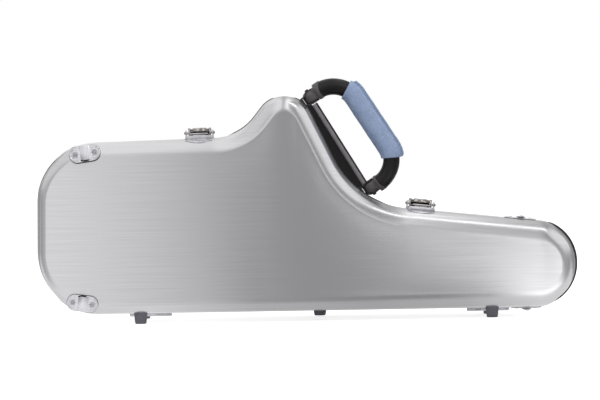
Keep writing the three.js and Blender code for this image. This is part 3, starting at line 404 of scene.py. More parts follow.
def filled(loop, side, fine=1, crowned=1.0):
    """Fills a closed loop with a grid: the blend of left and right, plus the blend of
    bottom and top, minus the blend of the four corners. The crown is
    h (1 - (2u - 1)^4) (1 - (2v - 1)^4), eased so that it starts level at the rim, and its
    height h grows towards the slim end."""
    n, across, length = len(loop), ACROSS * fine, ALONG * fine
    left = loop[np.arange(across + 1)]
    top = loop[across + np.arange(length + 1)]
    right = loop[2 * across + length - np.arange(across + 1)]
    bottom = loop[(2 * across + 2 * length - np.arange(length + 1)) % n]
    u = (bottom[:, 0] - bottom[0, 0]) / (bottom[-1, 0] - bottom[0, 0])
    v = (left[:, 2] - left[0, 2]) / (left[-1, 2] - left[0, 2])
    u, v = u[:, None, None], v[None, :, None]
    grid = (1 - v) * bottom[:, None] + v * top[:, None] + (1 - u) * left + u * right
    grid -= (1 - u) * (1 - v) * bottom[0] + u * (1 - v) * bottom[-1]
    grid -= (1 - u) * v * top[0] + u * v * top[-1]
    t = np.clip((grid[..., 0] + 60) / 330, 0, 1)
    crown = CROWNS[0] + (CROWNS[1] - CROWNS[0]) * t * t * (3 - 2 * t)
    rise = crown * ((1 - (2 * u - 1) ** 4) * (1 - (2 * v - 1) ** 4))[..., 0]
    rise = rise**2 / (rise + CROWN_EASE) * (crown + CROWN_EASE) / crown
    grid[..., 1] += side * rise * crowned
    return grid


# %% A whole shell


def unfolded(rings):
    """Grain coordinates: the last ring's own place plus the way out along the section."""
    steps = np.linalg.norm(np.diff(rings, axis=0), axis=2)
    way = np.concatenate([np.cumsum(steps[::-1], axis=0)[::-1], np.zeros((1, steps.shape[1]))])
    return rings[-1][None, :, [0, 2]] - outline[None, :, 2:] * way[..., None]


def shell(side):
    """Outer rings and face, inner rings and face, and the seam's edge that joins them."""
    surface = Surface()
    outer, inner = outer_section(side), inner_section(side)
    flip = side > 0
    first = surface.grid(outer, flip=not flip, uv=unfolded(outer))
    surface.grid(filled(outer[-1], side), False, False, flip=flip)
    second = surface.grid(inner, flip=flip, uv=unfolded(inner))
    surface.grid(filled(inner[-1], side), False, False, flip=not flip)
    k = np.arange(len(outline))
    k2 = (k + 1) % len(outline)
    rim = np.stack([first + k, first + k2, second + k2, second + k], axis=1)
    surface.faces.append(rim if not flip else rim[:, ::-1])
    return surface


# %% [markdown]
# ## Finishes
#
# Every finish is a Principled shader with its pattern from noise. What several finishes
# share is a node group: fine streaks for brushed and stamped metal, and a soft mottling
# for moulded and sewn pieces.

# %% Helpers for node trees


def node(tree, kind, **values):
    made = tree.nodes.new(kind)
    for key, value in values.items():
        if key.startswith("in_"):
            made.inputs[key[3:].replace("_", " ")].default_value = value
        else:
            setattr(made, key, value)
    return made


def new_group(name, inputs, outputs):
    """A node group with named inputs (name, socket kind, value) and outputs."""
    group = bpy.data.node_groups.new(name, "ShaderNodeTree")
    for label, kind, value in inputs:
        socket = group.interface.new_socket(label, in_out="INPUT", socket_type=kind)
        if value is not None:
            socket.default_value = value
    for label, kind in outputs:
        group.interface.new_socket(label, in_out="OUTPUT", socket_type=kind)
    return group, group.nodes.new("NodeGroupInput"), group.nodes.new("NodeGroupOutput")


def placed(tree, group, **values):
    made = tree.nodes.new("ShaderNodeGroup")
    made.node_tree = group
    for key, value in values.items():
        made.inputs[key].default_value = value
    return made


FLOAT, VECTOR, COLOUR = "NodeSocketFloat", "NodeSocketVector", "NodeSocketColor"


def material(name):
    made = bpy.data.materials.new(name)
    made.use_nodes = True
    return made, made.node_tree, made.node_tree.nodes["Principled BSDF"]


def bare_material(name):
    """A material for the studio, with no nodes yet."""
    made = bpy.data.materials.new(name)
    made.use_nodes = True
    made.node_tree.nodes.clear()
    return made, made.node_tree


# %% Streaks for brushed metal
streaks, s_in, s_out = new_group(
    "brushed_streaks",
    [("Place", VECTOR, None), ("Stretch", VECTOR, (6.0, 900.0, 1.0)), ("Contrast", FLOAT, 0.2)],
    [("Mask", FLOAT), ("Height", FLOAT)],
)
stretch = node(streaks, "ShaderNodeVectorMath", operation="MULTIPLY")
streaks.links.new(s_in.outputs["Place"], stretch.inputs[0])
streaks.links.new(s_in.outputs["Stretch"], stretch.inputs[1])
fine = node(streaks, "ShaderNodeTexNoise", in_Scale=1.0, in_Detail=3.0, in_Roughness=0.6)
streaks.links.new(stretch.outputs[0], fine.inputs["Vector"])
spread = node(streaks, "ShaderNodeMath", operation="SUBTRACT")
spread.inputs[1].default_value = 0.5
streaks.links.new(fine.outputs["Fac"], spread.inputs[0])
scaled = node(streaks, "ShaderNodeMath", operation="MULTIPLY_ADD")
scaled.inputs[2].default_value = 0.5
streaks.links.new(spread.outputs[0], scaled.inputs[0])
streaks.links.new(s_in.outputs["Contrast"], scaled.inputs[1])
streaks.links.new(scaled.outputs[0], s_out.inputs["Mask"])
streaks.links.new(fine.outputs["Fac"], s_out.inputs["Height"])
print(streaks.name, "has", len(streaks.nodes), "nodes")

# %% Mottling for moulded and sewn pieces
mottle, m_in, m_out = new_group(
    "soft_mottle",
    [
        ("Dark", COLOUR, (0.02, 0.02, 0.02, 1)),
        ("Light", COLOUR, (0.05, 0.05, 0.05, 1)),
        ("Scale", FLOAT, 60.0),
        ("Grain", FLOAT, 900.0),
    ],
    [("Color", COLOUR), ("Height", FLOAT)],
)
m_place = node(mottle, "ShaderNodeTexCoord")
broad = node(mottle, "ShaderNodeTexNoise", in_Detail=4.0, in_Roughness=0.6)
grain = node(mottle, "ShaderNodeTexNoise", in_Detail=2.0, in_Roughness=0.5)
mottle.links.new(m_place.outputs["Object"], broad.inputs["Vector"])
mottle.links.new(m_place.outputs["Object"], grain.inputs["Vector"])
mottle.links.new(m_in.outputs["Scale"], broad.inputs["Scale"])
mottle.links.new(m_in.outputs["Grain"], grain.inputs["Scale"])
m_mix = node(mottle, "ShaderNodeMix", data_type="RGBA")
mottle.links.new(broad.outputs["Fac"], m_mix.inputs["Factor"])
mottle.links.new(m_in.outputs["Dark"], m_mix.inputs["A"])
mottle.links.new(m_in.outputs["Light"], m_mix.inputs["B"])
mottle.links.new(m_mix.outputs["Result"], m_out.inputs["Color"])
mottle.links.new(grain.outputs["Fac"], m_out.inputs["Height"])
print(mottle.name, "has", len(mottle.nodes), "nodes")


# %% Finishes of metal


def metal(
    name, dark, light, roughness, stretch_by, contrast=1.2, bump=0.05, anisotropic=0.0,
    coat=0.0, on_uv=False,
):
    """Metal with streaks: the mask mixes two tones, the streaks' height lifts the normal."""
    made, tree, shader = material(name)
    if on_uv:
        place = node(tree, "ShaderNodeUVMap", uv_map="grain").outputs["UV"]
        tangent = node(tree, "ShaderNodeTangent", direction_type="UV_MAP", uv_map="grain")
        tree.links.new(tangent.outputs[0], shader.inputs["Tangent"])
    else:
        place = node(tree, "ShaderNodeTexCoord").outputs["Object"]
    lines = placed(tree, streaks, Stretch=stretch_by, Contrast=contrast)
    tree.links.new(place, lines.inputs["Place"])
    tones = node(tree, "ShaderNodeMix", data_type="RGBA", in_A=dark, in_B=light)
    tree.links.new(lines.outputs["Mask"], tones.inputs["Factor"])
    tree.links.new(tones.outputs["Result"], shader.inputs["Base Color"])
    rough = node(
        tree, "ShaderNodeMapRange", in_To_Min=roughness * 1.1, in_To_Max=roughness * 0.9
    )
    tree.links.new(lines.outputs["Mask"], rough.inputs["Value"])
    tree.links.new(rough.outputs["Result"], shader.inputs["Roughness"])
    lift = node(tree, "ShaderNodeBump", in_Strength=bump, in_Distance=0.0002)
    tree.links.new(lines.outputs["Height"], lift.inputs["Height"])
    tree.links.new(lift.outputs["Normal"], shader.inputs["Normal"])
    shader.inputs["Metallic"].default_value = 1.0
    shader.inputs["Anisotropic"].default_value = anisotropic
    shader.inputs["Anisotropic Rotation"].default_value = 0.25
    shader.inputs["Coat Weight"].default_value = coat
    shader.inputs["Coat Roughness"].default_value = 0.08
    return made


# %% The six metals


def tone(r, g, b):
    """A colour written as eyes see it, 0 to 255, turned into light by the sRGB curve."""
    c = np.array([r, g, b]) / 255.0
    linear = np.where(c <= 0.04045, c / 12.92, ((c + 0.055) / 1.055) ** 2.4)
    return (*linear.tolist(), 1.0)


brushed = metal(
    "brushed_shell", tone(215, 214, 216), tone(229, 228, 231), roughness=0.25,
    stretch_by=(6.0, 950.0, 1.0), contrast=1.9, bump=0.03, anisotropic=0.9, coat=0.25,
    on_uv=True,
)
nickel = metal(
    "stamped_nickel", tone(186, 185, 190), tone(214, 213, 218), roughness=0.2,
    stretch_by=(90.0, 90.0, 90.0), contrast=1.4,
)
satin = metal(
    "satin_nickel", tone(222, 221, 226), tone(240, 239, 243), roughness=0.34,
    stretch_by=(90.0, 90.0, 90.0), contrast=1.4,
)
chrome = metal(
    "drawn_chrome", tone(188, 184, 182), tone(218, 214, 211), roughness=0.12,
    stretch_by=(140.0, 60.0, 60.0), bump=0.04,
)
steel = metal(
    "steel", tone(110, 108, 109), tone(140, 137, 137), roughness=0.3,
    stretch_by=(120.0, 120.0, 120.0),
)
# Dark steel also colours the sheet under each latch lever, which paints the shade in that hollow.
dark_steel = metal(
    "dark_steel", tone(22, 20, 21), tone(36, 33, 33), roughness=0.4,
    stretch_by=(120.0, 120.0, 120.0),
)
print("metals", [m.name for m in (brushed, nickel, satin, chrome, steel, dark_steel)])

# %% Finishes of rubber, plastic, leather and plush


def moulded(name, dark, light, scale, grain_scale, roughness, bump, **extra):
    """A body colour that drifts between two tones, with a fine moulded grain. The numbers
    are the scale of the drift, that of the grain, the roughness and the grain's height."""
    made, tree, shader = material(name)
    pattern = placed(tree, mottle, Dark=dark, Light=light, Scale=scale, Grain=grain_scale)
    tree.links.new(pattern.outputs["Color"], shader.inputs["Base Color"])
    lift = node(tree, "ShaderNodeBump", in_Strength=bump, in_Distance=0.0002)
    tree.links.new(pattern.outputs["Height"], lift.inputs["Height"])
    tree.links.new(lift.outputs["Normal"], shader.inputs["Normal"])
    shader.inputs["Roughness"].default_value = roughness
    for key, value in extra.items():
        shader.inputs[key.replace("_", " ")].default_value = value
    return made


seal_rubber = moulded("seal_rubber", tone(16, 16, 18), tone(26, 26, 29), 60, 1500, 0.55, 0.2)
black_tube = moulded(
    "black_tube", tone(10, 8, 10), tone(19, 16, 18), 50, 2600, 0.3, 0.1, Specular_IOR_Level=0.36,
)
grey_socket = moulded("grey_socket", tone(68, 65, 65), tone(84, 81, 81), 70, 2200, 0.55, 0.25)
dark_bracket = moulded("dark_bracket", tone(28, 26, 27), tone(42, 39, 40), 70, 2200, 0.5, 0.25)
grey_strip = moulded("grey_strip", tone(112, 108, 112), tone(134, 130, 134), 60, 2200, 0.4, 0.15)
foot_rubber = moulded("foot_rubber", tone(98, 97, 106), tone(118, 117, 126), 90, 2500, 0.6, 0.3)
bumper_rubber = moulded("bumper_rubber", tone(72, 71, 80), tone(92, 91, 100), 90, 2500, 0.6, 0.3)
plush = moulded(
    "plush", tone(20, 22, 33), tone(38, 41, 56), 45, 1200, 0.95, 0.6,
    Sheen_Weight=0.5, Sheen_Roughness=0.5,
)
leather = moulded("leather", tone(126, 145, 180), tone(156, 174, 205), 55, 900, 0.48, 0.4)
stitch_thread = moulded(
    "stitch_thread", tone(84, 102, 140), tone(104, 122, 158), 80, 4000, 0.6, 0.4
)
print("moulded", [m.name for m in (seal_rubber, black_tube, grey_socket, grey_strip, plush)])

# %% Pebbles on the leather
leather_tree = leather.node_tree
pebble_place = node(leather_tree, "ShaderNodeTexCoord")
pebbles = node(leather_tree, "ShaderNodeTexVoronoi", in_Scale=640.0, in_Randomness=0.9)
leather_tree.links.new(pebble_place.outputs["Object"], pebbles.inputs["Vector"])
pebble_lift = node(leather_tree, "ShaderNodeBump", in_Strength=0.9, in_Distance=0.0006)
pebble_lift.invert = True
leather_shader = leather_tree.nodes["Principled BSDF"]
under = leather_shader.inputs["Normal"].links[0].from_socket
leather_tree.links.new(pebbles.outputs["Distance"], pebble_lift.inputs["Height"])
leather_tree.links.new(under, pebble_lift.inputs["Normal"])
leather_tree.links.new(pebble_lift.outputs["Normal"], leather_shader.inputs["Normal"])
pebble_tone = node(
    leather_tree, "ShaderNodeMix", data_type="RGBA", blend_type="MULTIPLY", in_Factor=0.45
)
ground = leather_shader.inputs["Base Color"].links[0].from_socket
pebble_shade = node(leather_tree, "ShaderNodeMapRange", in_To_Min=1.15, in_To_Max=0.55)
leather_tree.links.new(pebbles.outputs["Distance"], pebble_shade.inputs["Value"])
leather_tree.links.new(ground, pebble_tone.inputs["A"])
leather_tree.links.new(pebble_shade.outputs["Result"], pebble_tone.inputs["B"])
leather_tree.links.new(pebble_tone.outputs["Result"], leather_shader.inputs["Base Color"])
print("leather has", len(leather_tree.nodes), "nodes")

# %% The two shells
piece("shell_front", shell(-1), brushed, "lid", ["front_shell"], sharp=50)
piece("shell_rear", shell(1), brushed, "root", ["rear_shell"], sharp=50)

# %% [markdown]
# ## The seal
#
# A rubber seal follows the whole outline between the shells. Its outer bead is round, so
# the section is a rounded bar carried round the outline.

# %% The seal's section
SEAL_PRESSED = 1.9
END_PRESSED = 1.6


def seal_surface():
    """A bar 5 wide and 2.4 thick whose outer and inner edges are half circles. Along the
    level edges and the wide end it is pressed in flush between the lips, elsewhere its
    bead stands out."""
    angle = np.linspace(0, 2 * math.pi, 16, endpoint=False)
    level_edge = np.clip((np.abs(outline[:, 3]) - 0.9) / 0.08, 0, 1)
    pressed = SEAL_PRESSED * level_edge * level_edge * (3 - 2 * level_edge)
    far_end = np.clip((-375 - outline[:, 0]) / 15, 0, 1)
    pressed = np.maximum(pressed, END_PRESSED * far_end)
    inset = 1.0 - np.sign(np.cos(angle)) * 1.3 - HALF_SEAL * np.cos(angle)
    inset = inset[:, None] + pressed * (np.cos(angle) > 0)[:, None]
    depth = HALF_SEAL * np.sin(angle)
    rings = np.stack([ring(i, d) for i, d in zip(inset, depth)])
    surface = Surface()
    surface.grid(rings, closed_rows=True)
    return surface


piece("seal_bead", seal_surface(), seal_rubber, "root", ["rim_seal"], sharp=60)

# %% [markdown]
# ## Plates with eased edges
#
# Brackets, mounts and many small parts are plates: an outline, moved in a little at its
# two faces so that the light catches the edge. One helper makes them all.

# %% Plates


def inward(profile):
    """The direction into a closed outline at each corner: across the line between its
    neighbours, pointing left for an outline drawn anticlockwise."""
    along_it = unit(np.roll(profile, -1, axis=0) - np.roll(profile, 1, axis=0))
    left = np.stack([-along_it[:, 1], along_it[:, 0]], axis=1)
    x, y = profile[:, 0], profile[:, 1]
    area = (x * np.roll(y, -1) - np.roll(x, -1) * y).sum()
    return left if area > 0 else -left


def layered(profile, levels, axis):
    """Rings of a plate: the outline moved in by each level's inset at each height, which
    goes in as the coordinate with the number given. The other two keep their order."""
    lead = inward(profile)
    rows = []
    for height, inset in levels:
        moved = profile + lead * inset
        rows.append(np.insert(moved, axis, np.broadcast_to(height, len(moved)), axis=1))
    return np.stack(rows)


def eased(low, high, edge=0.5):
    """Levels of a plate from low to high with both edges rounded by 3 small steps."""
    e = edge
    lower = [(low, e), (low + 0.3 * e, 0.3 * e), (low + e, 0.0)]
    return lower + [(high - e, 0.0), (high - 0.3 * e, 0.3 * e), (high, e)]


def rounded_box(half_a, half_b, radius, per_side=1):
    """An outline of four arcs joined by straight sides, anticlockwise."""
    angles = np.linspace(0, math.pi / 2, 7)
    points = []
    for k, (sa, sb) in enumerate(((1, 1), (-1, 1), (-1, -1), (1, -1))):
        centre = np.array([sa * (half_a - radius), sb * (half_b - radius)])
        turn = angles + k * math.pi / 2
        points.append(centre + radius * np.stack([np.cos(turn), np.sin(turn)], axis=1))
    points = np.concatenate(points)
    if per_side > 1:
        following = np.roll(points, -1, axis=0)
        length = np.linalg.norm(following - points, axis=1)
        shares = np.arange(per_side) / per_side
        filled = [
            a + (b - a) * shares[:, None] if d > 4 * radius else a[None]
            for a, b, d in zip(points, following, length)
        ]
        points = np.concatenate(filled)
    return points


# %% [markdown]
# ## The handle
#
# A moulded tube bends out from two pivots and runs beside the slope. Its ends are matte
# sockets that turn between the ears of two brackets. The tube is a circle carried along
# a line with two elbows; the sockets are rings that change from a rounded box to a
# circle, because a plain cylinder would not meet the tube.

# %% The handle's own directions
PIVOT = np.array([9.633, 362.221])
PIVOT_DEPTH = 18.0
PIVOT_SPACING = 180.0
GRIP_RADIUS = 13.5
LEG_START = 12.5
ELBOW = np.array([[0.0, 18.5], [0.0, 34.08], [15.2, 59.5], [40.0, 59.5]])


class Seat:
    """A local frame: an origin and three directions, given as rows."""

    def __init__(self, origin, directions):
        self.origin, self.directions = np.asarray(origin, float), np.asarray(directions, float)

    def world(self, points):
        """Each point is the origin plus its three amounts along the directions."""
        return self.origin + np.asarray(points, float) @ self.directions


handle_run = np.array([0.540182, -0.841548])
handle_out = np.array([-handle_run[1], handle_run[0]])
handle_seat = Seat(
    (PIVOT[0], PIVOT_DEPTH, PIVOT[1]),
    [(handle_run[0], 0, handle_run[1]), (handle_out[0], 0, handle_out[1]), (0, -1, 0)],
)
beside = (outline[:, :2] - PIVOT) @ np.stack([handle_run, handle_out], 1)
on_slope = ((outline[:, 2:] @ handle_out) < -0.4) & (beside[:, 0] > -60) & (beside[:, 0] < 260)
slope_line = beside[on_slope][np.argsort(beside[on_slope][:, 0])]


def shell_below(x):
    """How far out the shell's wall is under a place along the handle."""
    return np.interp(x, slope_line[:, 0], slope_line[:, 1])


print("wall under the two pivots", np.round(shell_below([0.0, PIVOT_SPACING]), 2))


# %% Rings for tubes and plates


def circle(count, power=2.0):
    """Cosine and sine of even angles, swelled towards a box by a power above 2: each is
    its sign times its size to the power 2 / p."""
    angle = np.arange(count) / count * 2 * math.pi
    c, s = np.cos(angle), np.sin(angle)
    swell = 2.0 / power
    return np.sign(c) * np.abs(c) ** swell, np.sign(s) * np.abs(s) ** swell


def bent_line():
    """Stations of the grip's line with the direction that leads outwards: both elbows are
    cubic curves between four points, and the second one is the first one mirrored."""
    t = np.linspace(0, 1, 25)[:, None]
    p0, p1, p2, p3 = ELBOW
    at = (1 - t) ** 3 * p0 + 3 * (1 - t) ** 2 * t * p1 + 3 * (1 - t) * t**2 * p2 + t**3 * p3
    way = (1 - t) ** 2 * (p1 - p0) + 2 * (1 - t) * t * (p2 - p1) + t**2 * (p3 - p2)
    way = unit(way)
    first = np.concatenate([at, -way[:, 1:], way[:, :1]], axis=1)
    second = first[::-1] * np.array([-1, 1, -1, 1]) + np.array([PIVOT_SPACING, 0, 0, 0])
    middle = np.linspace(first[-1], second[0], 14)[1:-1]
    return np.concatenate([first, middle, second])


def along_line(stations, share):
    """Stations at shares of the line's length."""
    steps = np.linalg.norm(np.diff(stations[:, :2], axis=0), axis=1)
    way = np.concatenate([[0], np.cumsum(steps)])
    columns = [np.interp(np.asarray(share) * way[-1], way, stations[:, k]) for k in range(4)]
    found = np.stack(columns, axis=1)
    found[:, 2:] = unit(found[:, 2:])
    return found, way[-1]


def carried(stations, out, side):
    """A section of outward and sideways amounts at each station, in the seat's frame."""
    x = stations[:, :1] + stations[:, 2:3] * out
    y = stations[:, 1:2] + stations[:, 3:4] * out
    return xyz(x, y, side)


# %% The tube
grip_line = bent_line()
leg = np.array([[0.0, LEG_START, -1.0, 0.0]])
far_leg = np.array([[PIVOT_SPACING, LEG_START, 1.0, 0.0]])
c, s = circle(48)
whole_line = np.concatenate([leg, grip_line, far_leg])
loop = tube_of(handle_seat.world(carried(whole_line, GRIP_RADIUS * c, GRIP_RADIUS * s)))
piece("handle_tube", loop, black_tube, "handle", ["handle_loop"])

# %% The sockets
SOCKET_HALF = 10.7
DRUM_RADIUS = 12.3
SLEEVE_START = 12.8


def barrel(r):
    """Half the width of a socket at a distance from its pivot: w (1 - (r / 21)^4). The
    ears beside it follow the same curve, so that it can turn between them."""
    return SOCKET_HALF * (1 - (np.minimum(r, 15.0) / 21.0) ** 4)


def ball(r):
    """The same on the side away from the mount: w (1 - (r / 13)^2)^0.5."""
    return SOCKET_HALF * (1 - (np.minimum(r, 12.4) / 13.0) ** 2) ** 0.5


def socket_rows(scoop_level):
    """Rings from under the pivot to the tube: a drum about the pivot, a shoulder over
    the ears and a sleeve whose end is scooped out. The drum's depth is r sin a at the
    height -r cos a."""
    rows = []
    for a in np.array([0.03, 0.1, 0.17, 0.24, 0.32, 0.41, 0.5, 0.58, 0.66]) * math.pi:
        box_c, box_s = circle(48, 5.0)
        height = -DRUM_RADIUS * math.cos(a)
        deep = DRUM_RADIUS * math.sin(a) * box_s
        r = np.hypot(height, deep)
        width = np.where(box_c > 0, ball(r), barrel(r))
        rows.append(xyz(-width * box_c, height, deep))
    for height, width, deep, power in (
        (9.0, 10.4, 11.4, 4.6), (11.15, 10.4, 12.6, 3.8), (11.3, 12.8, 13.0, 2.7),
        (11.8, 13.8, 13.8, 2.1), (12.8, 14.1, 14.1, 2.0),
    ):
        box_c, box_s = circle(48, power)
        rows.append(xyz(-width * box_c, height, deep * box_s))
    c, s = circle(48)
    scoop = scoop_level + 4.6 * c**2 + 2.9 * c
    for share, radius in ((0.5, 14.15), (0.93, 14.15), (1.0, 13.9), (0.985, 13.0)):
        height = SLEEVE_START + (scoop - SLEEVE_START) * share
        rows.append(xyz(-radius * c, height, radius * s))
    return np.stack(rows)


for which, mirror, level in (("upper", False, 17.4), ("lower", True, 14.6)):
    rows = socket_rows(level)
    if mirror:
        rows = rows * np.array([-1, 1, 1]) + np.array([PIVOT_SPACING, 0, 0])
    socket = tube_of(handle_seat.world(rows))
    piece(f"handle_socket_{which}", socket, grey_socket, "handle", sharp=50)

# %% Brackets of the handle
EAR_START = 11.0
EAR_FOOT = 11.8
BASE_HALF = 9.2


def ear_profile(radius):
    """An ear seen along the pivot: a half circle over two sides that widen downwards."""
    angle = np.linspace(0, math.pi, 25)
    top = radius * np.stack([np.sin(angle), np.cos(angle)], axis=1)
    y = np.linspace(-1.5, -15, 10)
    z = radius + (EAR_FOOT - radius) * np.clip(-y / 15, 0, 1) ** 0.7
    low = np.stack([y, -z], axis=1)
    return np.concatenate([top, low, low[::-1] * [1, -1]])


for which, at, side in (("upper", 0.0, 1), ("lower", PIVOT_SPACING, -1)):
    bracket = Surface()
    for end in (-1, 1):
        outer = end * side < 0
        thick = 1.5 if outer else 2.8
        ear = ear_profile(8.0 if outer else 11.0)
        rows = layered(ear, eased(EAR_START, EAR_START + thick), 0)
        bend = (ball if outer else barrel)(np.hypot(rows[..., 1], rows[..., 2])) - SOCKET_HALF
        rows[..., 0] = at + end * (rows[..., 0] + bend)
        bracket.tube(handle_seat.world(rows))
    base = rounded_box(BASE_HALF, 12.4, 2.0, per_side=5)
    rows = []
    for height, inset in ((-12.8, 0.8), (-13.05, 0.25), (-13.6, 0.0), (-16.0, 0.0), (-60.0, 0.0)):
        ring_at = base + inward(base) * inset
        lean = 1 - 0.12 * min(1.0, (-13.3 - height) / 10)
        x = at + side * 3.3 + ring_at[:, 0] * lean
        x += side * (1 - lean) * BASE_HALF
        y = np.maximum(height, shell_below(x) - 1.5) if height < -50 else np.full(len(x), height)
        rows.append(xyz(x, y, ring_at[:, 1]))
    bracket.tube(handle_seat.world(np.stack(rows)))
    node_name = f"handle_bracket_{which}"
    piece(f"bracket_{which}", bracket, dark_bracket, "root", [node_name], sharp=50)

# %% The mount between the brackets, its strip and the dark edge of the strip
MOUNT_HALF = 79.0
MOUNT_UNDER = 9.5
strip_x = np.concatenate([[14.0, 14.2, 14.9], np.linspace(16.6, 165.0, 24), [166.7, 167.4, 167.6]])
strip_in = np.concatenate([[1.2, 0.4, 0.1], np.zeros(24), [0.1, 0.4, 1.2]])
strip_edge = np.interp(strip_x, [14, 166], [4.2, 0.4])


def bar_along(low, high, half, power):
    """A bar along the slope: rings of a swelled circle between two heights above the
    strip's edge, whose ends are drawn in a little."""
    c, s = circle(36, power)
    middle, reach = strip_edge[:, None] + (low + high) / 2, (high - low) / 2
    y = middle + (reach - strip_in[:, None]) * c
    z = (half - strip_in[:, None]) * s
    return tube_of(handle_seat.world(xyz(strip_x[:, None], y, z)))


strip = bar_along(-11.4, -1.0, 13.3, 2.6)
piece("mount_strip", strip, grey_strip, "root", ["handle_mount_cap"], sharp=60)
edge_bar = bar_along(-2.2, 0.0, 12.6, 3.0)
piece("mount_edge", edge_bar, black_tube, "root", sharp=60)
mount_outline = rounded_box(MOUNT_HALF, 11.8, 1.5, per_side=30)
mount_outline += np.array([PIVOT_SPACING / 2, 0])
mount_top = np.interp(mount_outline[:, 0], strip_x, strip_edge) - MOUNT_UNDER
mount_foot = np.minimum(mount_top - 0.5, shell_below(mount_outline[:, 0]) - 1.5)
levels = [(mount_top, 1.2), (mount_top - 0.4, 0.4), (mount_top - 1.2, 0.0), (mount_foot, 0.0)]
mount = tube_of(handle_seat.world(layered(mount_outline, levels, 1)))
piece("mount_block", mount, black_tube, "root", ["handle_mount"])

# %% The pivot pins
for which, at, side in (("upper", 0.0, -1), ("lower", PIVOT_SPACING, 1)):
    c, s = circle(28)
    rows = []
    for height, radius in ((-13.2, 3.0), (12.2, 3.0), (12.5, 2.7), (12.7, 2.0), (12.8, 1.0)):
        rows.append(xyz(at + side * height, radius * c, radius * s))
    pin = tube_of(handle_seat.world(np.stack(rows)))
    piece(f"pivot_pin_{which}", pin, dark_bracket, "root", [f"handle_pin_{which}"])

# %% [markdown]
# ## The leather wrap
#
# A strip of pebbled leather goes round the grip and is sewn together along the outer
# side, where its two edges stand up as a fin. The section is a circle with that fin. The
# stitches are real small threads, because a line in the material would look printed.

# %% The wrap
WRAP_RADIUS = 16.9
FIN_HEIGHT = 4.4
FIN_HALF = 1.5
wrap_from, wrap_to = 0.2, 0.8


def wrap_section(fin):
    """Outward and sideways amounts: a circle from one foot of the fin to the other, then
    up one side of the fin, round its top and down."""
    foot = math.asin(FIN_HALF / WRAP_RADIUS)
    angle = np.linspace(foot, 2 * math.pi - foot, 56)
    out, side = WRAP_RADIUS * np.cos(angle), WRAP_RADIUS * np.sin(angle)
    rise = np.array([0.25, 0.6, 0.85, 0.97, 1.0, 1.0, 0.97, 0.85, 0.6, 0.25])
    over = np.array([-1.0, -1.0, -1.0, -0.75, -0.3, 0.3, 0.75, 1.0, 1.0, 1.0]) * FIN_HALF
    base = math.sqrt(WRAP_RADIUS**2 - FIN_HALF**2)
    tall = WRAP_RADIUS + FIN_HEIGHT * fin - base
    return np.concatenate([out, base + rise * tall]), np.concatenate([side, over])


def wrap_rows():
    """Rings along the grip. The first and last turn in over the leather's cut edge, and
    the fin starts a little way in. A slow wave keeps the leather from looking turned."""
    share = np.concatenate([[0, 0, 0.002], np.linspace(0.006, 0.994, 60), [0.998, 1, 1]])
    shrink = np.concatenate([[2.6, 1.0, 0.25], np.zeros(60), [0.25, 1.0, 2.6]])
    stations, length = along_line(grip_line, wrap_from + (wrap_to - wrap_from) * share)
    inside = np.minimum(share - 0.022, 1.0 - share) * (wrap_to - wrap_from) * length
    rows = []
    for k in range(len(share)):
        fin = float(np.clip(inside[k] / 1.5, -0.4, 1.0))
        out, side = wrap_section(fin)
        wave = 1 + 0.006 * math.sin(share[k] * 23) + 0.004 * math.sin(share[k] * 61 + 1.0)
        scale = (WRAP_RADIUS * wave - shrink[k]) / WRAP_RADIUS
        rows.append(carried(stations[k : k + 1], out * scale, side * scale)[0])
    return np.stack(rows)


wrap = tube_of(handle_seat.world(wrap_rows()))
piece("leather_wrap", wrap, leather, "handle", ["handle_wrap"], sharp=60)

# %% Its stitches


def capsules(centres, along_it, across, length, radius):
    """Threads: for each one, five rings of a circle whose radius closes at both ends."""
    reach = np.array([-1.0, -0.86, 0.0, 0.86, 1.0]) * length / 2
    size = np.array([0.25, 0.8, 1.0, 0.8, 0.25]) * radius
    c, s = circle(8)
    third = np.cross(along_it, across)
    at = centres[:, None, None] + along_it[:, None, None] * reach[:, None, None]
    around = across[:, None, None] * c[:, None] + third[:, None, None] * s[:, None]
    return at + around * size[:, None, None]


STITCHES = 34
STITCH_LENGTH, STITCH_RADIUS, STITCH_RISE = 3.0, 0.42, 1.9
stitches = Surface()
stitch_share = np.linspace(0.045, 0.985, STITCHES)
spots, _ = along_line(grip_line, wrap_from + (wrap_to - wrap_from) * stitch_share)
lead = xyz(spots[:, 3], -spots[:, 2], 0.0)
for face in (-1, 1):
    height = WRAP_RADIUS + STITCH_RISE
    up = spots[:, :2] + spots[:, 2:] * height
    centre = xyz(up[:, 0], up[:, 1], face * (FIN_HALF + 0.05))
    sideways = np.broadcast_to([0.0, 0.0, 1.0], (STITCHES, 3))
    for thread in capsules(centre, lead, sideways, STITCH_LENGTH, STITCH_RADIUS):
        stitches.tube(handle_seat.world(thread))
piece("wrap_stitches", stitches, stitch_thread, "handle")

# %% [markdown]
# ## Places along the edge
#
# Latches, anchors, hinges and feet all sit on the edge of the case. Each gets a local
# frame there: the first direction runs along the edge, the third leads out of the case
# and may lean to the front, and the second is square to both.

# %% Frames on the edge
upper_rows = outline[ACROSS + np.arange(ALONG)]
lower_rows = outline[2 * ACROSS + ALONG + np.arange(ALONG)][::-1]
slot_of = {row["node"]: row["material_slot"] for row in frame["record"]["subparts"]}


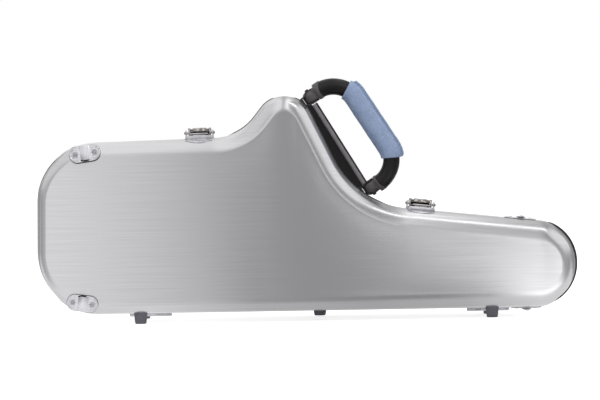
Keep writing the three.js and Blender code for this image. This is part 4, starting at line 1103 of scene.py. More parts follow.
def edge_seat(x, upper, side=-1, tilt=0.0, sideways=0.0, inset=0.0, spin=0.0):
    """The frame at a place: the way out leans by the tilt towards one side, and the run
    is (z, 0, -x) of the way out. A spin turns the run about the way out."""
    rows = upper_rows if upper else lower_rows
    at = np.array([np.interp(x, rows[:, 0], rows[:, k]) for k in range(4)])
    out = -unit(at[2:])
    run = np.array([out[1], 0.0, -out[0]])
    c, s = math.cos(tilt), math.sin(tilt)
    normal = np.array([out[0] * c, side * s, out[1] * c])
    origin = (at[0] - out[0] * inset, sideways, at[1] - out[1] * inset)
    across = np.cross(normal, run)
    c, s = math.cos(spin), math.sin(spin)
    return Seat(origin, [run * c + across * s, across * c - run * s, normal])


# %% Pieces that stand for CAD nodes


def stand_in(node_name, surface, finish, sharp=35.0):
    """A piece that takes the body of the CAD node it stands for and hides that node."""
    body = nodes[node_name]["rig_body"]
    return piece(f"{node_name}_form", surface, finish, body, [node_name], sharp)


def softened(node_name, finish, width):
    """A copy of a CAD mesh: its loose triangles are joined, flat neighbours merged, and
    the edges that remain get a small bevel."""
    source = nodes[node_name]
    mesh = source.data.copy()
    mesh.name = f"{node_name}_form"
    joined = bmesh.new()
    joined.from_mesh(mesh)
    bmesh.ops.remove_doubles(joined, verts=joined.verts, dist=1e-5)
    bmesh.ops.dissolve_limit(
        joined, angle_limit=math.radians(1), verts=joined.verts, edges=joined.edges
    )
    joined.to_mesh(mesh)
    joined.free()
    made = bpy.data.objects.new(mesh.name, mesh)
    scene.collection.objects.link(made)
    mesh.materials.clear()
    mesh.materials.append(finish)
    mesh.polygons.foreach_set("use_smooth", np.ones(len(mesh.polygons), bool))
    bevel = made.modifiers.new("soft_edges", "BEVEL")
    bevel.width = width * MM
    bevel.segments = 2
    bevel.limit_method = "ANGLE"
    bevel.angle_limit = math.radians(31)
    bevel.harden_normals = True
    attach(made, source["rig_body"])
    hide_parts(node_name)
    print(made.name, "keeps its CAD shape, with edges of", width, "mm")


# %% Screws with a cross slot
SCREW_RADIUS, SCREW_HEIGHT = 3.3, 1.9
SLOT_HALF, SLOT_REACH, SLOT_DEPTH = 0.62, 2.3, 1.2


def screw_head(surface, seat, x, y, z, share, turn):
    """A domed head: z = h (1 - (r / R)^2.4)^0.7, less a cross-shaped slot whose depth is
    eased over its edges. Rings of equal angles from the wall to the middle."""
    radius, height = SCREW_RADIUS * share, SCREW_HEIGHT * share
    c, s = circle(32)
    rows = []
    for r in np.array([1.0, 1.0, 0.97, 0.86, 0.72, 0.6, 0.5, 0.4, 0.28, 0.16, 0.06]) * radius:
        a, b = r * c, r * s
        dome = height * (1 - (r / radius) ** 2.4) ** 0.7
        along_a = a * math.cos(turn) + b * math.sin(turn)
        along_b = -a * math.sin(turn) + b * math.cos(turn)
        near = np.minimum(np.abs(along_a), np.abs(along_b))
        far = np.maximum(np.abs(along_a), np.abs(along_b))
        cut = np.clip((SLOT_HALF * share - near) / (0.28 * share), 0, 1)
        cut = cut * np.clip((SLOT_REACH * share - far) / (0.4 * share), 0, 1)
        rows.append(xyz(x + a, y + b, z + dome - SLOT_DEPTH * share * cut))
    rows[0][:, 2] = z - 1.5
    rows[1][:, 2] = z + 0.25 * height
    surface.tube(seat.world(np.stack(rows)))


def screws(node_prefix, seat, places, level, share=1.0):
    for k, (letter, (x, y)) in enumerate(places.items()):
        head = Surface()
        screw_head(head, seat, x, y, level, share, 0.35 + 0.7 * k)
        stand_in(f"{node_prefix}{letter}", head, nickel, sharp=40)


# %% [markdown]
# ## Strap anchors
#
# Each anchor is a pressed plate with round ends, rings pressed round its two screws and a
# bridge for a strap hook. Its top is a height over rings of the plate's outline.

# %% The pressed plate and its bridge
PLATE_RADIUS = 13.4
PLATE_HALF = 12.0
ANCHOR_SCREW = 15.4
BRIDGE_HALF = 8.6
BEAD_NEAR, BEAD_FAR, BEAD_WIDTH = 5.6, 8.9, 0.7


def anchor_plate(surface, seat, pad=0.0):
    """Rings of the stadium with insets i; the height adds a bead at the rim and beads
    exp(-((d - d0) / w)^2) at distances d from the nearer screw. With a pad amount given it
    is the same plan, a little larger, and stays low: a dark rim round the plate that paints
    the contact shade at its edge."""
    arc_angle = np.linspace(-math.pi / 2, math.pi / 2, 33)
    right_end = np.stack([np.cos(arc_angle), np.sin(arc_angle)], axis=1)
    line = np.linspace(1, -1, 12)[1:-1]
    rows = []
    insets = np.concatenate([[0.5, 0.0, 0.0, 0.2, 0.7], np.linspace(1.2, PLATE_RADIUS, 34)])
    for k, inset in enumerate(insets if not pad else insets[:5] - pad):
        radius = PLATE_RADIUS - inset
        right = right_end * radius + np.array([PLATE_HALF, 0])
        left = -right_end * radius - np.array([PLATE_HALF, 0])
        upper = np.stack([line * PLATE_HALF, np.full(10, radius)], axis=1)
        flat = np.concatenate([right, upper, left, -upper])
        d = np.hypot(np.abs(flat[:, 0]) - ANCHOR_SCREW, flat[:, 1])
        height = 1.5 + 0.9 * math.exp(-(((inset - 1.5) / 0.8) ** 2))
        height = height + 0.75 * np.exp(-(((d - BEAD_NEAR) / BEAD_WIDTH) ** 2))
        height = height + 0.6 * np.exp(-(((d - BEAD_FAR) / BEAD_WIDTH) ** 2)) * (inset > 2.6)
        height = height - 0.4 * np.exp(-((d / 3.8) ** 6))
        if k < 3:
            height = np.full(len(flat), (-7.0, -6.0, 1.0 - 0.4 * pad)[k])
        elif pad:
            height = np.full(len(flat), 0.8)
        elif k == 3:
            height = height - 0.55
        rows.append(np.column_stack([flat, height]))
    surface.tube(seat.world(np.stack(rows)))


# %% The bridge and the wire


def anchor_bridge(surface, seat, mirror):
    """A sheet bent to z = h (cos(pi x / w))^0.9 over the middle, with two beads across
    it. The section goes over the outside and back under the inside, and the sheet rises
    towards its open end."""
    x = np.linspace(-BRIDGE_HALF, BRIDGE_HALF, 41)
    bell = np.cos(x / BRIDGE_HALF * math.pi / 2) ** 0.9
    beads = np.exp(-(((x - 2.4) / BEAD_WIDTH) ** 2)) + np.exp(-(((x - 4.9) / BEAD_WIDTH) ** 2))
    rows = []
    for y, ease in (
        (-12.0, 0.5), (-12.2, 0.25), (-11.8, 0.0), (12.6, 0.0), (13.0, 0.25), (12.8, 0.5),
    ):
        rise = 4.6 - 1.2 * (y + 12) / 25
        top, under = 1.5 + rise * bell + 0.45 * beads, rise * bell - 0.1
        section_x = np.concatenate([x, x[::-1]]) + 1.0
        section_z = np.concatenate([top - ease, (np.minimum(under, top - 0.9) + ease)[::-1]])
        rows.append(xyz(section_x * mirror, y, section_z))
    surface.tube(seat.world(np.stack(rows)))


def wire(surface, seat, path, radius):
    """A round wire along a path: at each station a circle square to the path's own
    direction, made from two directions across it."""
    path = np.asarray(path, float)
    way = unit(np.gradient(path, axis=0))
    up = np.where(np.abs(way[:, 2:]) > 0.9, [[0.0, 1.0, 0.0]], [[0.0, 0.0, 1.0]])
    across = unit(np.cross(up, way))
    third = np.cross(way, across)
    c, s = circle(12)
    rings = across[:, None] * c[:, None] + third[:, None] * s[:, None]
    surface.tube(seat.world(path[:, None] + rings * radius))


# %% The four anchors
HINGE_HALF = 34.0
BESIDE_HINGE = 27.0
RIGHT_TOP_SHARE = 0.3941
SIDE_ANCHOR_DEPTH = 17.0
# How far the dark rim round each anchor plate reaches past it: painted contact shade.
SHADE_RIM_LARGER = 0.35
hinge_shares = {"left": -0.2906, "right": 0.3334}
beside_hinge = hinge_shares["right"] * CASE_LENGTH + HINGE_HALF + BESIDE_HINGE
shoulder_places = {"top": (-0.4034, 70.0, 0.0, -1.0), "base": (-0.4155, 79.0, 0.0, 8.0)}
for level, (share, lean, further, spin) in shoulder_places.items():
    upper = level == "top"
    left_x = share * CASE_LENGTH
    right_x = RIGHT_TOP_SHARE * CASE_LENGTH if upper else beside_hinge
    lean, spin = math.radians(lean), math.radians(spin)
    radius, depth = edge_radius_at(left_x), depth_at(left_x)
    forward = -(depth - radius + radius * math.sin(lean))
    inset = DRAFT + radius * (1 - math.cos(lean)) + further
    for end, seat in (
        ("left", edge_seat(left_x, upper, -1, lean, forward, inset, spin)),
        ("right", edge_seat(right_x, upper, sideways=-SIDE_ANCHOR_DEPTH)),
    ):
        anchor = Surface()
        anchor_plate(anchor, seat)
        anchor_bridge(anchor, seat, 1 if upper else -1)
        turn = np.linspace(0.04, 0.96, 25) * math.pi
        loop_path = xyz(-6.8 * np.cos(turn), -10.4 - 2.6 * np.sin(turn), 1.9 + 2.2 * np.sin(turn))
        eye = Surface()
        wire(eye, seat, loop_path, 1.15)
        finish = dark_steel if end == "left" else nickel
        piece(f"anchor_loop_{level}_{end}", eye, finish, "lid", sharp=60)
        # A dark rubber rim, a little larger than the plate, that paints the contact shade round
        # its edge.
        pad = Surface()
        anchor_plate(pad, seat, SHADE_RIM_LARGER)
        piece(f"anchor_shade_rim_{level}_{end}", pad, seal_rubber, "lid")
        stand_in(f"strap_anchor_{level}_{end}", anchor, satin, sharp=40)
        spots = {"a": (-ANCHOR_SCREW, 0.0), "b": (ANCHOR_SCREW, 0.0)}
        screws(f"anchor_screw_{level}_{end}_", seat, spots, 1.75)

# %% [markdown]
# ## Draw latches
#
# A lever turns in the ears of a base plate and pulls a wire bail over the lug of a keeper
# on the lid. The keeper ends in a round dished plate that follows the shell's shoulder,
# so its height is added along the shell's own surface.

# %% The shell's surface from the seam to the shoulder


def shoulder(x, way):
    """The depth, the inset and the outward direction of the shell's surface at distances
    along it from the seam."""
    radius, depth = float(edge_radius_at(x)), float(depth_at(x))
    bend = depth - radius
    level = np.linspace(0, bend, 60)
    kink = np.clip((level - STRAIGHT_BAND) / (bend - STRAIGHT_BAND), 0, 1)
    angle = np.linspace(0, math.pi / 2, 40)[1:]
    levels = np.concatenate([level, bend + radius * np.sin(angle)])
    insets = np.concatenate(
        [DRAFT * kink * kink * (2 - kink) ** 0.5, DRAFT + radius * (1 - np.cos(angle))]
    )
    steps = np.hypot(np.diff(levels), np.diff(insets))
    length = np.concatenate([[0], np.cumsum(steps)])
    slope = unit(np.stack([np.gradient(levels), np.gradient(insets)], axis=1))
    found = [np.interp(way, length, a) for a in (levels, insets, slope[:, 0], slope[:, 1])]
    return found


# %% Plates of the latch and its base
LEVER_PIVOT = (8.0, 9.4)
EAR_OUTER = 23.0


def box_plate(surface, seat, half_x, y_from, y_to, z_from, z_to, corner=1.5, edge=0.5):
    """A flat plate with round corners and eased edges, lying on the case."""
    plan = rounded_box(half_x, (y_to - y_from) / 2, corner)
    plan = plan + np.array([0.0, (y_from + y_to) / 2])
    surface.tube(seat.world(layered(plan, eased(z_from, z_to, edge), 2)))


def latch_base(seat):
    made = Surface()
    box_plate(made, seat, EAR_OUTER, 2.6, 34.6, -0.5, 2.4, 3.0)
    angle = np.linspace(0, math.pi, 17)
    eye = np.array(LEVER_PIVOT) + 4.6 * np.stack([np.cos(angle), np.sin(angle)], axis=1)
    profile = np.concatenate([eye, [(2.6, 4.0), (1.4, 1.0), (14.6, 1.0), (13.4, 4.0)]])
    for end in (-1, 1):
        rows = layered(profile, eased(20.6, EAR_OUTER), 0)
        rows[..., 0] *= end
        made.tube(seat.world(rows))
    return made


# %% Small pieces of the lever


def latch_shade_sheet(seat):
    """A dark folded sheet inside the lever that fills the view under it: painted shade for the
    hollow under the lever.
    """
    made = Surface()
    box_plate(made, seat, 15.6, 19.0, 32.0, 2.0, 11.4, 1.0, 0.6)
    for x in (-1, 1):
        angle = np.linspace(0, 2 * math.pi, 13)[:-1]
        plan = np.stack([x * 8.2 + 4.6 * np.cos(angle), 18.6 + 0.9 * np.sin(angle)], axis=1)
        made.tube(seat.world(layered(plan, eased(5.2, 9.4, 0.4), 2)))
    return made


def lever_front(seat):
    """The lever's rolled front edge in three lengths, so that the bail's legs pass."""
    made = Surface()
    plan = rounded_box(2.0, 3.1, 1.4) + np.array([17.4, 14.6])
    for low, high in ((-19.0, -15.0), (-11.0, 11.0), (15.0, 19.0)):
        made.tube(seat.world(layered(plan, eased(low, high, 0.6), 0)))
    return made


def pivot_heads(seat):
    """The two riveted heads of the lever's pivot."""
    made = Surface()
    for end in (-1, 1):
        c, s = circle(20)
        rows = []
        for x, r in ((20.0, 1.9), (23.2, 1.9), (23.3, 2.6), (24.0, 2.5), (24.8, 1.4), (25.0, 0.6)):
            rows.append(xyz(end * x, LEVER_PIVOT[0] + r * c, LEVER_PIVOT[1] + r * s))
        made.tube(seat.world(np.stack(rows)))
    return made


# %% The bail


def latch_bail(seat):
    """The bent wire: straight ends in the lever, two legs and a bar over the lug. Its
    corners are quarter circles sampled with the straights between them."""
    x, y, z = 13.0, 14.4, 6.4
    reach, rise, bend = 34.0, 1.9, 2.4
    quarter_turn = np.linspace(0, math.pi / 2, 9)
    corner = np.stack([np.sin(quarter_turn), 1 - np.cos(quarter_turn)], axis=1) * bend
    half = [(-18.4, 0.0)] + [(-x - bend + a, -b) for a, b in corner]
    half += [(-x, -t) for t in np.linspace(4.0, reach - 4.0, 8)]
    half += [(-x + b, -(reach - bend + a)) for a, b in corner] + [(0.0, -reach)]
    half = np.array(half)
    flat = np.concatenate([half, (half * np.array([-1, 1]))[::-1][1:]])
    lift = rise * np.clip(-flat[:, 1] / reach, 0, 1)
    made = Surface()
    wire(made, seat, xyz(flat[:, 0], y + flat[:, 1], z + lift), 1.2)
    return made


# %% The keeper and its pad


def latch_keeper(seat, x, middle):
    """Tongue, lug, a raised step and the dish: rings of radius r round its middle, whose
    height has a rim and a bead, laid on the shell's surface."""
    made = Surface()
    box_plate(made, seat, 12.0, -28.0, -5.0, -0.5, 2.3)
    lug_plan = rounded_box(10.0, 1.2, 0.6) + np.array([0.0, -18.0])
    made.tube(seat.world(layered(lug_plan, eased(1.3, 6.7, 0.4), 2)))
    step_plan = rounded_box(21.8, 10.0, 4.0, per_side=6) + np.array([0.0, -34.5])
    levels = [(-4.0, -0.6), (-0.5, -0.6), (4.2, 0.0), (5.0, 0.4), (5.5, 1.2), (5.7, 2.6)]
    made.tube(seat.world(layered(step_plan, levels, 2)))
    c, s = circle(64)
    rows = []
    for r, h in (
        (22.0, -3.0), (22.0, 0.5), (21.8, 0.9), (21.2, 1.3), (20.4, 1.3), (19.4, 0.9),
        (18.2, 0.8), (16.5, 0.8), (15.2, 0.9), (14.2, 1.3), (13.2, 1.3), (12.2, 0.9),
        (10.0, 0.8), (7.0, 0.8), (3.5, 0.8), (1.0, 0.8),
    ):
        depth, inset, down, into = shoulder(x, middle + r * s)
        rows.append(xyz(r * c, -depth - h * into, -inset + h * down))
    made.tube(seat.world(np.stack(rows)))
    return made


def keeper_pad(seat, x, middle):
    """A thin pad under the dish, a little smaller all round."""
    made = Surface()
    c, s = circle(64)
    rows = []
    for r, h in ((21.7, -3.0), (21.7, 0.1), (21.5, 0.2), (18.0, 0.2), (6.0, 0.2)):
        depth, inset, down, into = shoulder(x, middle + r * s)
        rows.append(xyz(r * c, -depth - h * into, -inset + h * down))
    made.tube(seat.world(np.stack(rows)))
    return made


# %% The two latches
LATCH_PAST_SLOPE, LATCH_PAST_PIVOT = 21.2, 79.0
DISH_THICK = 0.8
dish_middles = {"left": 66.0, "right": 46.0}
waist_start = arc(WAIST, 0, 1, 1, True)[0, 0] + centring
slope_end = arc(SLOPE_FOOT, 0, 1, 1, True)[1, 0] + centring
lower_pivot = PIVOT[0] + PIVOT_SPACING * handle_run[0]
right_latch = max(slope_end + LATCH_PAST_SLOPE, lower_pivot + LATCH_PAST_PIVOT)
latch_places = {"left": waist_start - EAR_OUTER, "right": right_latch}
for which, x in latch_places.items():
    seat = edge_seat(x, True)
    middle = dish_middles[which]
    print("latch", which, "pivot at", np.round(seat.world([0, *LEVER_PIVOT]), 2))
    stand_in(f"latch_base_{which}", latch_base(seat), nickel, sharp=40)
    # A dark sheet in the lever's hollow: painted shade.
    piece(f"latch_shade_sheet_{which}", latch_shade_sheet(seat), dark_steel, "root", sharp=40)
    softened(f"latch_lever_{which}", chrome, 0.7)
    lever_body = f"latch_lever_{which}"
    piece(f"lever_front_{which}", lever_front(seat), chrome, lever_body, sharp=50)
    piece(f"pivot_heads_{which}", pivot_heads(seat), steel, lever_body, sharp=50)
    stand_in(f"latch_bail_{which}", latch_bail(seat), chrome, sharp=60)
    stand_in(f"latch_keeper_{which}", latch_keeper(seat, x, middle), nickel, sharp=45)
    piece(f"keeper_pad_{which}", keeper_pad(seat, x, middle), seal_rubber, "lid")
    screws(f"latch_screw_{which}_", seat, {"a": (-17.0, 30.1), "b": (17.0, 30.1)}, 2.3)
    depth, inset, down, into = (float(v) for v in shoulder(x, middle))
    tip = np.array([[1, 0, 0], [0, down, -into], [0, -into, down]]) @ seat.directions
    tip[1] = np.cross(tip[2], tip[0])
    head = [0.0, -depth - DISH_THICK * into, -inset + DISH_THICK * down]
    head_seat = Seat(seat.world(head), tip)
    screws(f"keeper_screw_{which}", head_seat, {"": (0.0, 0.0)}, 0.0)

# %% [markdown]
# ## Hinges, feet and bumpers
#
# The hinge leaves keep their CAD shape with softened edges. Feet and bumpers are turned
# rubber: a profile carried round a circle.

# %% Hinges
HINGE_SCREW_X, HINGE_SCREW_Y = 23.0, 13.3
for which, share in hinge_shares.items():
    seat = edge_seat(share * CASE_LENGTH, False, 1)
    for side in ("rear", "front"):
        softened(f"hinge_leaf_{side}_{which}", nickel, 0.35)
        y = HINGE_SCREW_Y if side == "rear" else -HINGE_SCREW_Y
        spots = {"a": (-HINGE_SCREW_X, y), "b": (HINGE_SCREW_X, y)}
        screws(f"hinge_screw_{side}_{which}_", seat, spots, 1.8, share=0.75)
    c, s = circle(24)
    rows = []
    for x, r in (
        (-34.6, 0.6), (-34.3, 1.15), (-33.8, 1.25), (33.8, 1.25), (34.3, 1.15), (34.6, 0.6),
    ):
        rows.append(xyz(x, r * c, 4.5 + r * s))
    hinge_pin = tube_of(seat.world(np.stack(rows)))
    stand_in(f"hinge_pin_{which}", hinge_pin, nickel, sharp=40)

# %% Feet and bumpers
FOOT_TOP, FOOT_END = 10.6, 9.0
BUMPER_HEIGHT, BUMPER_TOP, BUMPER_END = 7.4, 10.0, 9.2
BUMPER_SHARE, BUMPER_APART = 0.0222, 38.0


def turned_foot(seat, height, top, bottom):
    """A turned profile: a straight root, a side that narrows, a round edge and a shallow
    ring pressed into the flat end."""
    c, s = circle(48)
    rows = []
    for r, z in (
        (top + 0.2, -5.0), (top + 0.2, 0.2), (top + 0.1, 0.9), (top - 0.1, 1.5),
        (top * 0.55 + bottom * 0.45, height * 0.5), (bottom + 0.1, height - 2.2),
        (bottom, height - 1.2), (bottom - 0.5, height - 0.4), (bottom - 1.4, height),
        (bottom * 0.62, height), (bottom * 0.56, height - 0.7), (bottom * 0.2, height - 0.7),
    ):
        rows.append(xyz(r * c, r * s, z))
    return tube_of(seat.world(np.stack(rows)))


for which, share, side in (("left", -0.3058, 68.0), ("right", 0.3383, 46.0)):
    for body, sign in (("rear", 1), ("front", -1)):
        seat = edge_seat(share * CASE_LENGTH, False, 1, sideways=sign * side)
        made = turned_foot(seat, STAND, FOOT_TOP, FOOT_END)
        stand_in(f"{body}_foot_{which}", made, foot_rubber, sharp=40)
for body, sign in (("rear", 1), ("front", -1)):
    seat = edge_seat(BUMPER_SHARE * CASE_LENGTH, False, 1, sideways=sign * BUMPER_APART)
    bumper = turned_foot(seat, BUMPER_HEIGHT, BUMPER_TOP, BUMPER_END)
    stand_in(f"{body}_bumper", bumper, bumper_rubber, sharp=40)

# %% [markdown]
# ## The padded beds
#
# Each shell holds a block of foam under plush, with a hollow for the instrument. The top
# is a height over a fine grid: a round-bottomed channel for the body tube, the bow
# and the neck end, and a deeper flare for the bell. Distances to simple shapes give the
# walls, and easing them gives the soft lips that plush has.

# %% Distances to the hollow
BOW_X = outline_low + centring + 140.0
NECK_X = outline_high + centring - 40.0
TUBE_Z, BOW_Z = 80.6, 147.6
CHANNEL_HALF, BOW_RADIUS, CHANNEL_DEPTH = 45.0, 67.0, 55.0
RIM_INSET, RIM_HALF, FLARE_LENGTH, BELL_DEPTH, BELL_HALF = 29.0, 76.0, 150.0, 73.0, 60.0
LIP_WIDTH = 7.0


def channel_distance(x, z):
    """Signed distance to the channel, below zero inside: the least of two straight runs
    and the half ring of the bow."""
    low = np.maximum(np.abs(z - TUBE_Z) - CHANNEL_HALF, np.maximum(BOW_X - x, x - NECK_X))
    bow = np.abs(np.hypot(x - BOW_X, z - BOW_Z) - BOW_RADIUS) - CHANNEL_HALF
    bow = np.maximum(bow, x - BOW_X)
    high = np.abs(z - BOW_Z - BOW_RADIUS) - CHANNEL_HALF
    high = np.maximum(high, np.maximum(BOW_X - x, x - FLARE_X - 6))
    return np.minimum(np.minimum(low, bow), high)


slope_way = unit(corner_at[SLOPE_FOOT] - corner_at[PEAK])
slope_out = np.array([-slope_way[1], slope_way[0]])
slope_middle = (corner_at[PEAK] + corner_at[SLOPE_FOOT]) / 2 + np.array([centring, 0])
rim_middle = slope_middle - slope_out * RIM_INSET
rim_top, rim_low = rim_middle - slope_way * RIM_HALF, rim_middle + slope_way * RIM_HALF
FLARE_X = rim_middle[0] - FLARE_LENGTH
bell_corners = np.array([[FLARE_X, BOW_Z + 112], rim_top, rim_low, [FLARE_X, BOW_Z + 22]])
print("bow starts at", round(BOW_X, 1), "and the flare at", round(FLARE_X, 1))


def bell_distance(x, z):
    """Signed distance to the flare: the greatest of the distances past its four sides."""
    far = np.full(x.shape, -1e9)
    for a, b in zip(bell_corners, np.roll(bell_corners, -1, axis=0)):
        way = unit(b - a)
        past = (x - a[0]) * -way[1] + (z - a[1]) * way[0]
        far = np.maximum(far, past)
    return far


def hollow_depth(x, z):
    """D (1 - (1 - t)^4)^0.5 with t the share of the way from the wall to the middle, with
    a lip eased over 7 mm, for the channel and for the bell. The deeper one counts."""
    deepest = np.zeros(x.shape)
    for distance, depth, half in (
        (channel_distance(x, z), CHANNEL_DEPTH, CHANNEL_HALF),
        (bell_distance(x, z), BELL_DEPTH, BELL_HALF),
    ):
        t = np.clip(-distance / half, 0, 1)
        lip = np.clip((-distance + 0.5) / LIP_WIDTH, 0, 1)
        lip = lip * lip * (3 - 2 * lip)
        deepest = np.maximum(deepest, depth * np.sqrt(1 - (1 - t) ** 4) * lip)
    return deepest


# %% The plush blocks


def finer(loop):
    """The loop with a point halfway between each two."""
    halfway = (loop + np.roll(loop, -1, axis=0)) / 2
    return np.stack([loop, halfway], axis=1).reshape(-1, loop.shape[1])


def padded_bed(side):
    """Rings from the top's rim over a soft edge and down the wall to the back, the top
    with its hollow and a plain back."""
    x = outline[:, 0]
    radius, depth = edge_radius_at(x), depth_at(x)
    bend = depth - radius
    sections = [(9.6, 2.0), (8.0, 2.15), (6.7, 3.0), (6.0, 4.6), (5.8, 8.0), (9.6, bend)]
    rings = [ring(inset, side * level) for inset, level in sections]
    rings.append(ring(DRAFT + radius + 1.2, side * (depth - WALL - 1.2)))
    rings = np.stack([finer(r) for r in rings])
    made = Surface()
    made.grid(rings, flip=side < 0)
    top = filled(rings[0], side, 2, 0.0)
    hollow = hollow_depth(top[..., 0], top[..., 2])
    soft = 0.35 * np.sin(top[..., 0] * 0.11) * np.sin(top[..., 2] * 0.13)
    top[..., 1] += side * (hollow + soft * np.clip(hollow / 8, 0, 1))
    made.grid(top, False, False, flip=side > 0)
    made.grid(filled(rings[-1], side, 2, 1.0), False, False, flip=side < 0)
    return made


for name, side in (("rear_bed", 1), ("front_bed", -1)):
    bed_form = stand_in(name, padded_bed(side), plush, sharp=80)

# %% Finishes of the pieces that keep their CAD mesh
slot_finish = {
    "shell": brushed, "seal": seal_rubber, "plush": plush, "nickel": nickel,
    "black_plastic": black_tube, "strip": grey_strip, "grey_plastic": dark_bracket,
    "leather": leather, "foot_rubber": foot_rubber,
}
for name, slot_name in slot_of.items():
    nodes[name].data.materials.clear()
    nodes[name].data.materials.append(slot_finish[slot_name])
still_shown = [name for name, obj in nodes.items() if not obj.hide_render]
print("CAD pieces still shown:", still_shown)

# %% [markdown]
# ## Studio
#
# A pale floor, a white world and soft lamps. Metal shows what stands around it, so two
# coves that only reflections see, dark in the middle and brighter to both sides, give its
# faces their tone. A long lens far away keeps the case's edges nearly parallel.

# %% The camera
VIEW_LENS = 200.0
SENSOR = 36.0
FRAME_WIDTH = 0.978
CAMERA_LIFT = math.radians(1.6)
CAMERA_ROLL = math.radians(-0.955)
look_at = np.array([-0.0098, 0.0, 0.1937])
distance = FRAME_WIDTH * VIEW_LENS / SENSOR
camera_data = bpy.data.cameras.new("camera")
camera_data.lens = VIEW_LENS
camera_data.sensor_width = SENSOR
camera_data.clip_end = 100.0
camera = bpy.data.objects.new("camera", camera_data)
scene.collection.objects.link(camera)
back = np.array([0.0, -math.cos(CAMERA_LIFT), math.sin(CAMERA_LIFT)])
camera.location = look_at + back * distance
camera.rotation_mode = "XYZ"
aim = Vector(-back).to_track_quat("-Z", "Y").to_matrix().to_4x4()
camera.matrix_world = Matrix.Translation(camera.location) @ aim @ Matrix.Rotation(
    CAMERA_ROLL, 4, "Z"
)
scene.camera = camera
print("camera", round(distance, 3), "m away")

# %% [markdown]
# ## World, floor and coves
#
# The camera and the reflections see a pure white world, while it lights the case a little
# less, so that the dark pieces stay dark. The floor is white to the camera and darker in
# reflections, as the underside of the case mirrors it.

# %% The world
world = bpy.data.worlds.new("studio")
scene.world = world
world.use_nodes = True
wt = world.node_tree
wt.nodes.clear()
light_path = wt.nodes.new("ShaderNodeLightPath")
seen = node(wt, "ShaderNodeMath", operation="MAXIMUM")
seen2 = node(wt, "ShaderNodeMath", operation="MAXIMUM")
wt.links.new(light_path.outputs["Is Camera Ray"], seen.inputs[0])
wt.links.new(light_path.outputs["Is Glossy Ray"], seen.inputs[1])
wt.links.new(seen.outputs[0], seen2.inputs[0])
wt.links.new(light_path.outputs["Is Transmission Ray"], seen2.inputs[1])
strength = node(wt, "ShaderNodeMapRange", in_To_Min=0.6, in_To_Max=1.0)
wt.links.new(seen2.outputs[0], strength.inputs["Value"])
sky = node(wt, "ShaderNodeBackground", in_Color=(1, 1, 1, 1))
wt.links.new(strength.outputs["Result"], sky.inputs["Strength"])
wout = wt.nodes.new("ShaderNodeOutputWorld")
wt.links.new(sky.outputs[0], wout.inputs["Surface"])


print("world lights the case by", round(strength.inputs["To Min"].default_value, 2))

# %% Helpers for the studio


def stage_plane(name, corners, made_of):
    mesh = bpy.data.meshes.new(name)
    mesh.from_pydata([tuple(c) for c in corners], [], [(0, 1, 2, 3)])
    made = bpy.data.objects.new(name, mesh)
    scene.collection.objects.link(made)
    mesh.materials.append(made_of)
    return made


def ramp_of(tree, source, levels):
    """A grey level looked up at a place: the place is first brought between 0 and 1."""
    low, high = levels[0][0], levels[-1][0]
    share = node(tree, "ShaderNodeMapRange", in_From_Min=low, in_From_Max=high)
    tree.links.new(source, share.inputs["Value"])
    ramp = tree.nodes.new("ShaderNodeValToRGB")
    for k, (x, level) in enumerate(levels):
        where = min(1.0, (x - low) / (high - low))
        stop = ramp.color_ramp.elements[k] if k < 2 else ramp.color_ramp.elements.new(where)
        stop.position, stop.color = where, (level, level, level, 1)
    tree.links.new(share.outputs["Result"], ramp.inputs["Fac"])
    return ramp.outputs["Color"]


# %% The floor
FLOOR_REACH = 9.0
FLOOR_GLOW = 0.66
FLOOR_LEVELS = [(-0.5, 0.85), (-0.25, 0.85), (-0.08, 0.58), (0.1, 0.5), (0.26, 0.58), (0.38, 0.85)]
floor_material, ft = bare_material("floor")
diffuse = node(ft, "ShaderNodeBsdfDiffuse", in_Color=(0.9, 0.9, 0.9, 1))
glow = node(ft, "ShaderNodeEmission", in_Color=(1, 1, 1, 1))
f_path = ft.nodes.new("ShaderNodeLightPath")
f_seen = node(ft, "ShaderNodeMath", operation="MULTIPLY")
f_seen.inputs[1].default_value = FLOOR_GLOW
ft.links.new(f_path.outputs["Is Camera Ray"], f_seen.inputs[0])
ft.links.new(f_seen.outputs[0], glow.inputs["Strength"])
f_add = ft.nodes.new("ShaderNodeAddShader")
ft.links.new(diffuse.outputs[0], f_add.inputs[0])
ft.links.new(glow.outputs[0], f_add.inputs[1])
f_place = ft.nodes.new("ShaderNodeTexCoord")
f_split = ft.nodes.new("ShaderNodeSeparateXYZ")
ft.links.new(f_place.outputs["Object"], f_split.inputs[0])
f_mirrored = ft.nodes.new("ShaderNodeEmission")
ft.links.new(ramp_of(ft, f_split.outputs["X"], FLOOR_LEVELS), f_mirrored.inputs["Color"])
f_mix = ft.nodes.new("ShaderNodeMixShader")
ft.links.new(f_path.outputs["Is Glossy Ray"], f_mix.inputs["Fac"])
ft.links.new(f_add.outputs[0], f_mix.inputs[1])
ft.links.new(f_mirrored.outputs[0], f_mix.inputs[2])
f_out = ft.nodes.new("ShaderNodeOutputMaterial")
ft.links.new(f_mix.outputs[0], f_out.inputs["Surface"])
corners = FLOOR_REACH * np.array([(-1, -1, 0), (1, -1, 0), (1, 1, 0), (-1, 1, 0)])
stage_plane("floor", corners, floor_material)
print("floor", 2 * FLOOR_REACH, "m wide")

